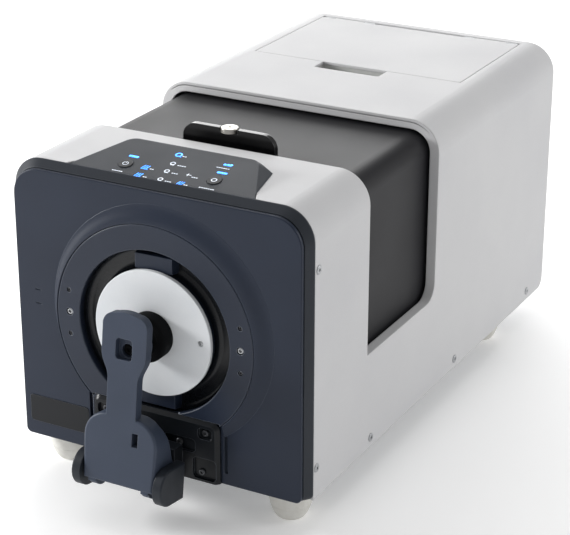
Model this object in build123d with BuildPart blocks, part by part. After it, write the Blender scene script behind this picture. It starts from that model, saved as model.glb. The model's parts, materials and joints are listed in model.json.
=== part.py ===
from build123d import *
import os
from math import cos, radians, sin

# Bench-top colour measuring instrument with an integrating sphere, a front port and a top sample chamber.
# X runs across the instrument, Y from front to back and Z up. The origin is on the bench under its middle.

os.makedirs("parts", exist_ok=True)

# ---------- driving sizes, in millimetres and degrees ----------

# housing
housing_width = 271.0
housing_depth = 500.0  # front panel face to the shell's rear edge
foot_height = 29.0
shell_height = 245.0  # the shell alone, without the feet
front_arch_drop = 2.0  # the front arch is a little lower than the rear one
shell_wall = 2.5
shell_corner_radius = 27.0
shell_setback = 10.8  # shell's front edge behind the panel face
shell_rear_foot_radius = 10.0

# opening over the sample chamber, measured from the panel face
opening_front = 103.5
opening_length = 130.8
opening_sill = 116.0  # height above the bench
opening_corner_radius = 15.0
rim_depth = 8.5
rim_wall = 2.5

# front panel and bezel
panel_margin = 5.5  # from the housing's side to the panel's side
panel_top = 266.0
panel_thickness = 3.0
panel_corner_radius = 24.0
panel_foot_radius = 5.0
panel_edge_radius = 1.2
bezel_groove = 1.2
bezel_groove_depth = 1.8
bezel_wall = 3.5
bezel_foot_radius = 6.0

# measuring port
port_height = 149.0
skirt_radius = 104.5
ring_proud = 3.0  # ring and skirt stand in front of the panel
ring_radius = 90.2
trough_outer_radius = 69.0
trough_inner_radius = 52.5
trough_depth = 9.0
ring_back = 4.0  # thickness of the port ring behind the trough
port_radius = 40.0
mask_radius = 53.0
mask_thickness = 3.4
mask_proud = 4.0
mask_spigot = 4.5
aperture_radius = 12.7
mask_screw_offset = 44.0

# sample holder
hinge_reach = 48.0  # hinge axis in front of the panel face
hinge_height = 44.0
arm_lean = 8.0  # the closed arm leans back against the port
arm_face = 12.0  # face of the arm in front of the hinge axis
arm_thickness = 8.0
arm_length = 137.0
head_width = 40.0
head_foot = 104.0  # the head narrows from here, measured along the arm
neck_width = 27.0
neck_top = 82.0
apron_width = 66.5
apron_top = 53.0
apron_foot = 4.6
apron_depth = 30.0
apron_shoulder_depth = 14.0
apron_wall = 2.5
apron_shoulder_radius = 21.0
cap_radius = 15.2
cap_length = 20.5  # side cap behind the hinge axis
cap_thickness = 8.0
pin_radius = 3.0
knuckle_radius = 8.4
lug_radius = 11.8
knuckle_width = 40.0
pad_radius = 19.5
pad_thickness = 13.7
pad_boss_radius = 12.5
pad_stem_radius = 5.2
pad_travel = 5.0
window_width = 15.0
window_height = 17.0

# mounting block under the port
mount_width = 118.0
mount_top = 83.0
mount_base = 5.0
mount_core_width = 52.0
mount_core_depth = 9.0
mount_core_height = 30.0
side_groove_width = 3.2
side_groove_depth = 4.0

# control panel wedge
wedge_front_height = 270.8
wedge_length = 55.4
wedge_tilt = 10.6
wedge_side_margin = 51.0  # from the housing's side to the wedge's front corner
wedge_taper = 27.0  # the wedge is this much narrower at its rear, on each side
wedge_corner_radius = 11.0
wedge_flare = 50.0
wedge_gap = 0.5
wedge_thickness = 9.0
button_radius = 6.0
button_offset = 40.0
button_row = 15.8  # along the wedge from its front edge
button_height = 5.0
button_proud = 0.6
button_travel = 1.0
light_row = 28.3
light_width = 9.0
light_length = 2.4

# sliding chamber cover
cover_margin = 11.0  # from the housing's side to the cover's side
cover_top = 263.0
cover_wall = 2.5
cover_corner_radius = 17.0
cover_foot = 103.0
cover_front_gap = 0.8
cover_tuck = 5.7  # length of the cover kept under the rear rim
cover_travel = 111.0
handle_width = 86.0
handle_height = 19.0
handle_thickness = 5.0
handle_setback = 13.5  # from the cover's front edge to the handle
handle_corner_radius = 12.0
knob_radius = 7.3
knob_height = 4.0
knob_notch_depth = 3.3

# rear lid
lid_rear_margin = 13.6
lid_side_margin = 31.7
lid_length = 137.2
lid_gap = 0.6
slot_width = 65.0
slot_length = 18.6
slot_depth = 8.0
lid_hinge_radius = 2.0
lid_pin_radius = 1.0

# optics
sphere_radius = 76.0
sphere_wall = 3.0
sphere_flange = 7.0
chamber_length = 57.0
cowl_margin = 16.5  # from the housing's side to the cowl's side
cowl_wall = 2.5
cowl_corner_radius = 15.0
beam_radius = 13.0
trap_angle = 32.0

# base and power
base_thickness = 3.0
flange_height = 28.0
foot_radius = 18.0
foot_margin = 30.0  # from the housing's side to a foot's middle
foot_front = 30.0
foot_rear = 418.0
rear_panel_inset = 4.0
rear_panel_thickness = 2.5

# clearances
running_fit = 0.08  # radial, between a shaft and its bore
seat_gap = 0.3  # between parts that only sit next to each other
slide_gap = 0.3
screw_gap = 0.1

# ---------- places worked out from the sizes ----------

arm_reach = hinge_reach + cap_radius
front_y = -(housing_depth - arm_reach) / 2
half_width = housing_width / 2
panel_width = housing_width - 2 * panel_margin
cover_width = housing_width - 2 * cover_margin
cowl_width = housing_width - 2 * cowl_margin
lid_width = housing_width - 2 * lid_side_margin
lid_front = housing_depth - lid_rear_margin - lid_length
foot_spread = half_width - foot_margin
wedge_front_half = half_width - wedge_side_margin
wedge_rear_half = wedge_front_half - wedge_taper
shell_top = foot_height + shell_height
front_arch_top = shell_top - front_arch_drop
shell_front_y = front_y + shell_setback
shell_rear_y = front_y + housing_depth
opening_front_y = front_y + opening_front
opening_rear_y = opening_front_y + opening_length
inside_half_width = half_width - shell_wall
port_axis = Axis((0, 0, port_height), (0, 1, 0))
hinge_y = front_y - hinge_reach
wedge_front_y = shell_front_y + seat_gap
wedge_run = wedge_length * cos(radians(wedge_tilt))
base_top = foot_height + base_thickness
base_front_y = shell_front_y + 1.2
base_rear_y = shell_rear_y - shell_rear_foot_radius
side_screw_spots = [(16.6, 223.0), (15.6, 56.0), (112.5, 37.9), (284.2, 37.9), (458.7, 37.9)]
side_screw_radius = 1.6
board_x = 0.0
board_width = 150.0
board_length = 110.0
board_y = front_y + 310.0
board_lift = 6.0
standoff_inset = 6.0
standoff_radius = 3.0


def facing(y):
    return Plane(origin=(0, y, 0), x_dir=(1, 0, 0), z_dir=(0, -1, 0))


def arch_outline(half, bottom, top, corner):
    with BuildSketch(Plane.XY) as outline:
        with Locations((0, bottom)):
            Rectangle(2 * half, top - bottom, align=(Align.CENTER, Align.MIN))
        fillet(outline.vertices().group_by(Axis.Y)[-1], corner)
    return outline.sketch


def wedge_outline(front, length, gap):
    with BuildSketch(Plane.XY) as outline:
        with BuildLine():
            Polyline(
                (-wedge_front_half - gap, front),
                (wedge_front_half + gap, front),
                (wedge_rear_half + gap, front + length + gap),
                (-wedge_rear_half - gap, front + length + gap),
                close=True,
            )
        make_face()
        fillet(outline.vertices().group_by(Axis.Y)[-1], wedge_corner_radius + gap)
    return outline.sketch


def finish(piece, name):
    piece.part.label = name
    export_step(piece.part, f"parts/{name}.step")


# ---------- base plate and feet ----------

foot_spots = [
    (side * foot_spread, front_y + reach) for side in (-1, 1) for reach in (foot_front, foot_rear)
]
foot_screw_radius = 2.2
flange_thickness = 2.5
flange_front_y = base_front_y + 18.0
flange_rear_gap = 8.0

with BuildPart() as base_plate:
    with BuildSketch(Plane.XY.offset(foot_height)):
        with Locations((0, base_front_y)):
            Rectangle(
                2 * inside_half_width - 2 * seat_gap,
                base_rear_y - base_front_y,
                align=(Align.CENTER, Align.MIN),
            )
    extrude(amount=base_thickness)
    with BuildSketch(Plane.XY.offset(base_top)):
        for side in (-1, 1):
            with Locations((side * (inside_half_width - seat_gap - flange_thickness / 2), flange_front_y)):
                Rectangle(
                    flange_thickness,
                    base_rear_y - flange_rear_gap - flange_front_y,
                    align=(Align.CENTER, Align.MIN),
                )
    extrude(amount=flange_height)
    with BuildSketch(Plane.XY.offset(foot_height)):
        with Locations(*foot_spots):
            Circle(foot_screw_radius + screw_gap)
    extrude(amount=base_thickness, mode=Mode.SUBTRACT)
    for side in (-1, 1):
        with BuildSketch(Plane.YZ.offset(side * inside_half_width)):
            for reach, height in side_screw_spots:
                if height < base_top + flange_height:
                    with Locations((front_y + reach, height)):
                        Circle(side_screw_radius + screw_gap)
        extrude(amount=-side * (flange_thickness + 1), mode=Mode.SUBTRACT)
    # standoffs for the main board
    with BuildSketch(Plane.XY.offset(base_top)):
        with Locations((board_x, board_y)):
            with GridLocations(board_width - 2 * standoff_inset, board_length - 2 * standoff_inset, 2, 2):
                Circle(standoff_radius)
    extrude(amount=board_lift)
finish(base_plate, "base_plate")

foot_bore_radius = 5.6
foot_bore_depth = 10.0
foot_names = ("foot_front_left", "foot_rear_left", "foot_front_right", "foot_rear_right")


def make_foot(spot, name):
    foot_plane = Plane(origin=(spot[0], spot[1], 0))
    foot_side = Plane(origin=foot_plane.origin, x_dir=(1, 0, 0), z_dir=(0, -1, 0))
    with BuildPart() as foot:
        with BuildSketch(foot_side):
            with BuildLine():
                bottom_radius = 0.66 * foot_radius
                Polyline((0, foot_height), (0, 0), (bottom_radius, 0))
                ThreePointArc(
                    (bottom_radius, 0),
                    (0.92 * foot_radius, 0.34 * foot_height),
                    (foot_radius, foot_height),
                )
                Line((foot_radius, foot_height), (0, foot_height))
            make_face()
        revolve(axis=Axis(foot_plane.origin, (0, 0, 1)))
        with BuildSketch(foot_plane):
            Circle(foot_bore_radius)
        extrude(amount=foot_bore_depth, mode=Mode.SUBTRACT)
        with BuildSketch(foot_plane):
            Circle(foot_screw_radius + screw_gap)
        extrude(amount=foot_height, mode=Mode.SUBTRACT)
    finish(foot, name)


for foot_spot, foot_name in zip(foot_spots, foot_names):
    make_foot(foot_spot, foot_name)

nut_height = 3.2
nut_radius = 4.4
foot_screw_head = 3.4
foot_screw_head_radius = 4.3
with BuildPart() as foot_screws:
    with BuildSketch(Plane.XY.offset(foot_bore_depth - foot_screw_head)):
        with Locations(*foot_spots):
            Circle(foot_screw_head_radius)
    extrude(amount=foot_screw_head)
    with BuildSketch(Plane.XY.offset(foot_bore_depth)):
        with Locations(*foot_spots):
            Circle(foot_screw_radius)
    extrude(amount=base_top + nut_height - foot_bore_depth)
    with BuildSketch(Plane.XY.offset(base_top)):
        with Locations(*foot_spots):
            RegularPolygon(nut_radius, 6)
    extrude(amount=nut_height)
finish(foot_screws, "foot_screws")

# ---------- outer shell ----------

side_screw_head_radius = 3.75
side_screw_head = 1.0
side_screw_length = 7.0
lid_front_y = front_y + lid_front
lid_rear_y = lid_front_y + lid_length
lid_axis_y = lid_rear_y + 2.2
lid_axis_z = shell_top - 2.1
lid_hole_rear_y = lid_axis_y + 2.8
slot_front_y = lid_front_y - lid_gap - slot_length

with BuildPart() as rim_band:
    with BuildSketch(Plane.YZ) as band:
        outer_height = shell_top + 40 - opening_sill + rim_wall
        with Locations((opening_front_y - rim_wall, opening_sill - rim_wall)):
            Rectangle(opening_length + 2 * rim_wall, outer_height, align=(Align.MIN, Align.MIN))
        lower_rear = band.vertices().group_by(Axis.Y)[0].sort_by(Axis.X)[-1]
        fillet(lower_rear, opening_corner_radius + rim_wall)
    extrude(amount=half_width, both=True)
    with BuildSketch(Plane.YZ) as window:
        with Locations((opening_front_y, opening_sill)):
            Rectangle(opening_length, outer_height, align=(Align.MIN, Align.MIN))
        fillet(window.vertices().group_by(Axis.Y)[0].sort_by(Axis.X)[-1], opening_corner_radius)
    extrude(amount=half_width, both=True, mode=Mode.SUBTRACT)
    with BuildSketch(facing(shell_front_y)):
        add(arch_outline(half_width - shell_wall / 2, foot_height, front_arch_top - shell_wall / 2,
                         shell_corner_radius - shell_wall / 2))
    extrude(amount=-housing_depth, mode=Mode.INTERSECT)
    with BuildSketch(facing(shell_front_y)):
        add(arch_outline(half_width - rim_depth, foot_height, shell_top - rim_depth,
                         shell_corner_radius - rim_depth))
    extrude(amount=-housing_depth, mode=Mode.SUBTRACT)

with BuildPart() as outer_shell:
    # front arch
    with BuildSketch(facing(shell_front_y)):
        add(arch_outline(half_width, foot_height, front_arch_top, shell_corner_radius))
        add(arch_outline(inside_half_width, foot_height, front_arch_top - shell_wall,
                         shell_corner_radius - shell_wall), mode=Mode.SUBTRACT)
    extrude(amount=-(opening_front_y - shell_front_y))
    # rear arch, with the low side walls that run forward under the opening
    with BuildSketch(facing(opening_front_y)):
        add(arch_outline(half_width, foot_height, shell_top, shell_corner_radius))
        add(arch_outline(inside_half_width, foot_height, shell_top - shell_wall,
                         shell_corner_radius - shell_wall), mode=Mode.SUBTRACT)
    extrude(amount=-(shell_rear_y - opening_front_y))
    with BuildSketch(Plane.YZ) as window:
        with Locations((opening_front_y, opening_sill)):
            Rectangle(opening_length, shell_top, align=(Align.MIN, Align.MIN))
        fillet(window.vertices().group_by(Axis.Y)[0].sort_by(Axis.X)[-1], opening_corner_radius)
    extrude(amount=half_width + 1, both=True, mode=Mode.SUBTRACT)
    # rounded lower corner at the back
    with BuildSketch(Plane.YZ) as tail:
        with Locations((shell_rear_y, foot_height)):
            Rectangle(shell_rear_foot_radius, shell_rear_foot_radius, align=(Align.MAX, Align.MIN))
        with Locations((shell_rear_y - shell_rear_foot_radius, foot_height + shell_rear_foot_radius)):
            Circle(shell_rear_foot_radius, mode=Mode.SUBTRACT)
    extrude(amount=half_width + 1, both=True, mode=Mode.SUBTRACT)
    add(rim_band.part)
    # hole for the rear lid, with the finger slot in front of it
    with BuildSketch(Plane.XY.offset(shell_top - shell_wall - 1)) as lid_hole:
        with Locations((0, lid_front_y - lid_gap)):
            Rectangle(lid_width + 2 * lid_gap, lid_hole_rear_y - lid_front_y + lid_gap,
                      align=(Align.CENTER, Align.MIN))
        with Locations((0, slot_front_y)):
            Rectangle(slot_width, slot_length + 1, align=(Align.CENTER, Align.MIN))
        fillet(lid_hole.vertices().group_by(Axis.Y)[0], 2.5)
    extrude(amount=shell_wall + 2, mode=Mode.SUBTRACT)
    # hole for the control panel
    with BuildSketch(Plane.XY.offset(front_arch_top - shell_wall - 6)):
        add(wedge_outline(wedge_front_y, wedge_run, wedge_gap))
        with Locations((0, shell_front_y)):
            Rectangle(2 * (wedge_front_half + wedge_gap), 3 * seat_gap)
    extrude(amount=shell_wall + 8, mode=Mode.SUBTRACT)
    for side in (-1, 1):
        with BuildSketch(Plane.YZ.offset(side * half_width)):
            for reach, height in side_screw_spots:
                with Locations((front_y + reach, height)):
                    Circle(side_screw_radius + screw_gap)
        extrude(amount=-side * (shell_wall + 0.5), mode=Mode.SUBTRACT)
finish(outer_shell, "outer_shell")

# ---------- bezel and front panel ----------

bezel_front_y = front_y + panel_thickness + bezel_groove
bezel_lip = 0.6
bezel_foot_rail = 6.0
bezel_lug_depth = 16.0
bezel_lug_thickness = 6.0

with BuildPart() as front_bezel:
    with BuildSketch(facing(bezel_front_y)) as front_outline:
        add(arch_outline(panel_width / 2 + bezel_lip, foot_height, panel_top + bezel_lip, panel_corner_radius))
        fillet(front_outline.vertices().group_by(Axis.Y)[0], bezel_foot_radius)
    with BuildSketch(facing(shell_front_y)) as rear_outline:
        add(arch_outline(half_width, foot_height, front_arch_top, shell_corner_radius))
        fillet(rear_outline.vertices().group_by(Axis.Y)[0], bezel_foot_radius)
    loft()
    with BuildSketch(facing(bezel_front_y)):
        add(arch_outline(panel_width / 2 - bezel_groove_depth, foot_height + bezel_groove_depth,
                         panel_top - bezel_groove_depth, panel_corner_radius))
    extrude(amount=bezel_groove)
    with BuildSketch(facing(front_y)):
        add(arch_outline(panel_width / 2 - bezel_groove_depth - bezel_wall, foot_height + bezel_foot_rail,
                         panel_top - bezel_groove_depth - bezel_wall, panel_corner_radius - bezel_wall))
    extrude(amount=-(shell_setback + 1), mode=Mode.SUBTRACT)
    # lugs that take the two front side screws
    for side in (-1, 1):
        with BuildSketch(facing(shell_front_y - 3)):
            for reach, height in side_screw_spots[:2]:
                with Locations((side * (inside_half_width - seat_gap - bezel_lug_thickness / 2), height)):
                    Rectangle(bezel_lug_thickness, bezel_lug_depth)
        extrude(amount=-bezel_lug_depth)
        with BuildSketch(Plane.YZ.offset(side * half_width)):
            for reach, height in side_screw_spots[:2]:
                with Locations((front_y + reach, height)):
                    Circle(side_screw_radius + screw_gap)
        extrude(amount=-side * 9, mode=Mode.SUBTRACT)
finish(front_bezel, "front_bezel")

backing_depth = trough_depth - panel_thickness
slit_margin = 19.4
slit_width = 5.0
slit_height = 1.3
slit_spots = [(slit_margin - panel_width / 2, port_height + rise) for rise in (13.5, 1.5)]
nameplate_margin = 6.0
nameplate_width = panel_width / 2 - 72.0
nameplate_height = 24.0
nameplate_corner = 3.0
nameplate_spot = (nameplate_margin + (nameplate_width - panel_width) / 2, 54.0)
nameplate_recess = 0.7
nameplate_proud = 0.3
mount_field_top = mount_top + 2.0
mount_field_width = mount_width + 5.0
skirt_edge_angle = 40.0
backing_margin = 3.7
backing_foot = foot_height + bezel_foot_rail + 2.0

with BuildPart() as front_panel:
    with BuildSketch(facing(front_y)) as plate:
        add(arch_outline(panel_width / 2, foot_height, panel_top, panel_corner_radius))
        fillet(plate.vertices().group_by(Axis.Y)[0], panel_foot_radius)
    extrude(amount=-panel_thickness)
    fillet(front_panel.faces().sort_by(Axis.Y)[0].edges(), panel_edge_radius)
    # backing behind the dish and behind the mounting block
    with BuildSketch(facing(front_y + panel_thickness)):
        with Locations((0, port_height)):
            Circle(skirt_radius + backing_margin)
        with Locations((0, backing_foot)):
            Rectangle(mount_field_width + 4 * side_groove_width, mount_field_top - foot_height,
                      align=(Align.CENTER, Align.MIN))
    extrude(amount=-backing_depth)
    # soft skirt that rises to the ring
    with BuildSketch(Plane.YZ):
        with BuildLine():
            foot_point = (front_y, port_height + skirt_radius)
            crest_point = (front_y - ring_proud, port_height + ring_radius)
            crest_slope = (-sin(radians(skirt_edge_angle)), -cos(radians(skirt_edge_angle)))
            Spline(foot_point, crest_point, tangents=((0, -1), crest_slope))
            Polyline(
                crest_point,
                (front_y + panel_thickness, port_height + ring_radius),
                (front_y + panel_thickness, port_height + skirt_radius),
                foot_point,
            )
        make_face()
    revolve(axis=port_axis)
    # the skirt stops at the mounting block
    with BuildSketch(facing(front_y - ring_proud - 1)):
        with Locations((0, mount_field_top)):
            Rectangle(mount_field_width + 2 * side_groove_width, port_height, align=(Align.CENTER, Align.MAX))
    extrude(amount=-(ring_proud + 1), mode=Mode.SUBTRACT)
    # flat field that carries the mounting block, with the ring's hole through all of it
    with BuildSketch(facing(front_y)):
        with Locations((0, backing_foot)):
            Rectangle(mount_field_width, mount_field_top - backing_foot, align=(Align.CENTER, Align.MIN))
    extrude(amount=-trough_depth)
    with BuildSketch(facing(front_y - ring_proud - 1)):
        with Locations((0, port_height)):
            Circle(ring_radius + screw_gap)
    extrude(amount=-(trough_depth + ring_proud + 1), mode=Mode.SUBTRACT)
    groove_foot = backing_foot + 2
    with BuildSketch(facing(front_y)):
        for side in (-1, 1):
            with Locations((side * (mount_field_width + side_groove_width) / 2, groove_foot)):
                Rectangle(side_groove_width, mount_field_top - groove_foot, align=(Align.CENTER, Align.MIN))
    extrude(amount=-side_groove_depth, mode=Mode.SUBTRACT)
    with BuildSketch(facing(front_y)):
        with Locations(*slit_spots):
            Rectangle(slit_width, slit_height)
        with Locations(nameplate_spot):
            RectangleRounded(nameplate_width + 2 * screw_gap, nameplate_height + 2 * screw_gap, nameplate_corner)
    extrude(amount=-nameplate_recess, mode=Mode.SUBTRACT)
finish(front_panel, "front_panel")

with BuildPart() as nameplate_blank:
    with BuildSketch(facing(front_y + nameplate_recess)):
        with Locations(nameplate_spot):
            RectangleRounded(nameplate_width, nameplate_height, nameplate_corner)
    extrude(amount=nameplate_recess + nameplate_proud)
finish(nameplate_blank, "nameplate_blank")

# ---------- measuring port ----------

ring_screw_offset = 78.5
ring_screw_radius = 3.2
ring_set_screw_radius = 2.0
ring_edge_bevel = 0.7
ring_screw_spots = [
    (side * ring_screw_offset, port_height + rise) for side in (-1, 1) for rise in (2.0,)
]
ring_set_screw_spots = [
    (side * ring_screw_offset, port_height + rise) for side in (-1, 1) for rise in (21.0, -17.0)
]
mask_back_y = front_y - mask_proud + mask_thickness
boss_front_y = mask_back_y + screw_gap
ring_face_y = front_y - ring_proud
ring_screw_depth = 5.0
ring_screw_height = 4.6
ring_back_radius = skirt_radius
ring_back_y = front_y + trough_depth + ring_back

latch_width = 36.0
latch_rise = 58.0
latch_height = 15.0
latch_set_back = 3.3  # latch behind the ring's face
with BuildPart() as mask_latches:
    for side in (-1, 1):
        with BuildSketch(facing(front_y + trough_depth)):
            with Locations((0, port_height + side * latch_rise)):
                Rectangle(latch_width, latch_height)
        extrude(amount=trough_depth + ring_proud - latch_set_back, taper=8)
finish(mask_latches, "mask_latches")

with BuildPart() as port_ring:
    with BuildSketch(Plane.YZ):
        with BuildLine():
            Polyline(
                (boss_front_y, port_height + port_radius),
                (boss_front_y, port_height + trough_inner_radius),
                (front_y + trough_depth, port_height + trough_inner_radius),
                (front_y + trough_depth, port_height + trough_outer_radius),
                (ring_face_y, port_height + trough_outer_radius),
                (ring_face_y, port_height + ring_radius),
                (front_y + trough_depth, port_height + ring_radius),
                (front_y + trough_depth, port_height + ring_back_radius),
                (ring_back_y, port_height + ring_back_radius),
                (ring_back_y, port_height + port_radius),
                close=True,
            )
        make_face()
    revolve(axis=port_axis)
    ring_edges = port_ring.edges().filter_by(GeomType.CIRCLE)
    trough_edges = ring_edges.filter_by(
        lambda edge: abs(edge.arc_center.Y - front_y - trough_depth) < 0.01
        and edge.radius < trough_outer_radius + 0.01
    )
    fillet(trough_edges, 5)
    ring_edges = port_ring.edges().filter_by(GeomType.CIRCLE)
    chamfer(
        ring_edges.filter_by(
            lambda edge: abs(edge.arc_center.Y - ring_face_y) < 0.01
            and edge.radius > trough_outer_radius - 0.01
        ),
        ring_edge_bevel,
    )
    with BuildSketch(facing(ring_face_y)):
        with Locations(*ring_screw_spots):
            Circle(ring_screw_radius + screw_gap)
        with Locations(*ring_set_screw_spots):
            Circle(ring_set_screw_radius + screw_gap)
    extrude(amount=-ring_screw_depth, mode=Mode.SUBTRACT)
    # flat behind the mounting block
    with BuildSketch(facing(ring_face_y)):
        with Locations((0, mount_top + seat_gap)):
            Rectangle(mount_width + 2 * seat_gap, port_height, align=(Align.CENTER, Align.MAX))
    extrude(amount=-ring_proud, mode=Mode.SUBTRACT)
    # seats of the two latches
    add(mask_latches.part, mode=Mode.SUBTRACT)
finish(port_ring, "port_ring")

with BuildPart() as port_ring_screws:
    with BuildSketch(facing(ring_face_y + ring_screw_depth)):
        with Locations(*ring_screw_spots):
            Circle(ring_screw_radius)
        with Locations(*ring_set_screw_spots):
            Circle(ring_set_screw_radius)
    extrude(amount=ring_screw_height)
finish(port_ring_screws, "port_ring_screws")

with BuildPart() as target_mask:
    with BuildSketch(facing(mask_back_y)):
        with Locations((0, port_height)):
            Circle(mask_radius)
    extrude(amount=mask_thickness)
    fillet(target_mask.faces().sort_by(Axis.Y)[0].edges(), 0.6)
    with BuildSketch(facing(mask_back_y)):
        with Locations((0, port_height)):
            Circle(port_radius - running_fit)
    extrude(amount=-mask_spigot)
    with BuildSketch(facing(mask_back_y + mask_spigot)):
        with Locations((0, port_height)):
            Circle(port_radius - 4)
    extrude(amount=mask_spigot + 1, mode=Mode.SUBTRACT)
    with BuildSketch(facing(mask_back_y)):
        with Locations((0, port_height)):
            Circle(aperture_radius)
    extrude(amount=mask_thickness, mode=Mode.SUBTRACT)
    with BuildSketch(facing(front_y - mask_proud)):
        with Locations((-mask_screw_offset, port_height + 1), (mask_screw_offset, port_height + 1)):
            Circle(2.3 + screw_gap)
    extrude(amount=-1.2, mode=Mode.SUBTRACT)
finish(target_mask, "target_mask")

with BuildPart() as mask_screws:
    with BuildSketch(facing(front_y - mask_proud + 1.2)):
        with Locations((-mask_screw_offset, port_height + 1), (mask_screw_offset, port_height + 1)):
            Circle(2.3)
    extrude(amount=1.2 + 0.3)
finish(mask_screws, "mask_screws")

# ---------- mounting block and sample arm ----------

arm_plane = Plane(
    origin=(0, hinge_y, hinge_height),
    x_dir=(1, 0, 0),
    z_dir=(0, -cos(radians(arm_lean)), sin(radians(arm_lean))),
)


def hinge_side(x):
    # side view of the arm: local X points out of the arm's face, local Y points down along the arm
    return Plane(
        origin=(x, hinge_y, hinge_height),
        x_dir=(0, -cos(radians(arm_lean)), sin(radians(arm_lean))),
        z_dir=(1, 0, 0),
    )


pocket_depth = 2.6
pocket_spots = [(23.5, 59.5), (47.0, 72.5), (46.0, 41.0)]
pocket_sizes = [(29.0, 12.0), (13.0, 10.0), (21.0, 19.0)]
pocket_corner = 3.5
mount_screw_spots = [(22.5, 59.5), (46.5, 72.5), (43.0, 37.0)]
mount_screw_radius = 3.0
mount_screw_height = 1.8
mount_corner = 7.0

with BuildPart() as arm_mount:
    with BuildSketch(facing(front_y)) as mount_outline:
        with Locations((0, foot_height + 0.5)):
            Rectangle(mount_width, mount_top - foot_height - 0.5, align=(Align.CENTER, Align.MIN))
        fillet(mount_outline.vertices().group_by(Axis.Y)[-1], mount_corner)
    extrude(amount=mount_base)
    chamfer(arm_mount.faces().sort_by(Axis.Y)[0].edges().filter_by(Axis.Z), 3)
    with BuildSketch(facing(front_y - mount_base)):
        with Locations((0, hinge_height)):
            Rectangle(mount_core_width, mount_core_height)
    extrude(amount=mount_core_depth, taper=12)
    with BuildSketch(Plane.YZ):
        with Locations((hinge_y, hinge_height)):
            Circle(knuckle_radius)
            Rectangle(hinge_reach - mount_base, 2 * knuckle_radius, align=(Align.MIN, Align.CENTER))
    extrude(amount=knuckle_width / 2, both=True)
    with BuildSketch(Plane.YZ):
        with Locations((hinge_y, hinge_height)):
            Circle(pin_radius + running_fit)
    extrude(amount=knuckle_width, both=True, mode=Mode.SUBTRACT)
    # shallow pockets each side of the core
    for side in (-1, 1):
        with BuildSketch(facing(front_y - mount_base)):
            for spot, size in zip(pocket_spots, pocket_sizes):
                with Locations((side * spot[0], spot[1])):
                    RectangleRounded(size[0], size[1], pocket_corner)
        extrude(amount=-pocket_depth, mode=Mode.SUBTRACT)
finish(arm_mount, "arm_mount")

with BuildPart() as arm_mount_screws:
    with BuildSketch(facing(front_y - mount_base + pocket_depth)):
        for side in (-1, 1):
            with Locations(*[(side * spot[0], spot[1]) for spot in mount_screw_spots]):
                Circle(mount_screw_radius)
    extrude(amount=mount_screw_height)
finish(arm_mount_screws, "arm_mount_screws")

apron_half = apron_width / 2
cap_inner = apron_half + seat_gap
pin_half_length = cap_inner + 4.2

with BuildPart() as arm_hinge_pin:
    with BuildSketch(Plane.YZ):
        with Locations((hinge_y, hinge_height)):
            Circle(pin_radius)
    extrude(amount=pin_half_length, both=True)
finish(arm_hinge_pin, "arm_hinge_pin")


def apron_outline(inset, foot):
    half = apron_half - inset
    top = apron_top - inset
    radius = apron_shoulder_radius - inset
    bend = radius * (1 - cos(radians(45)))
    with BuildSketch(Plane.XY) as outline:
        with BuildLine():
            Polyline((-half, top - radius), (-half + 1.2, -foot), (half - 1.2, -foot), (half, top - radius))
            ThreePointArc((half, top - radius), (half - bend, top - bend), (half - radius, top))
            Line((half - radius, top), (-half + radius, top))
            ThreePointArc((-half + radius, top), (-half + bend, top - bend), (-half, top - radius))
        make_face()
    return outline.sketch


def apron_point(depth, rise):
    # point in the side view, this far behind the apron's face and this far along the arm
    lean = radians(arm_lean)
    reach = arm_face - depth
    return (hinge_y - reach * cos(lean) + rise * sin(lean), hinge_height + reach * sin(lean) + rise * cos(lean))


arm_axis = Axis(arm_plane.origin, arm_plane.z_dir)
apron_edge_radius = 2.2
blade_foot = 14.0
slant_foot = 8.0
head_corner = 10.0
head_crown = 1.6
window_rise = 107.4
window_depth = 6.0
slot_spot = (13.75, 36.1)
slot_size = (5.5, 11.4)
pad_boss_front = 23.5
pad_boss_root = 40.0
lug_inner = knuckle_width / 2 + 1.0
lug_thickness = 6.5

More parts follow.
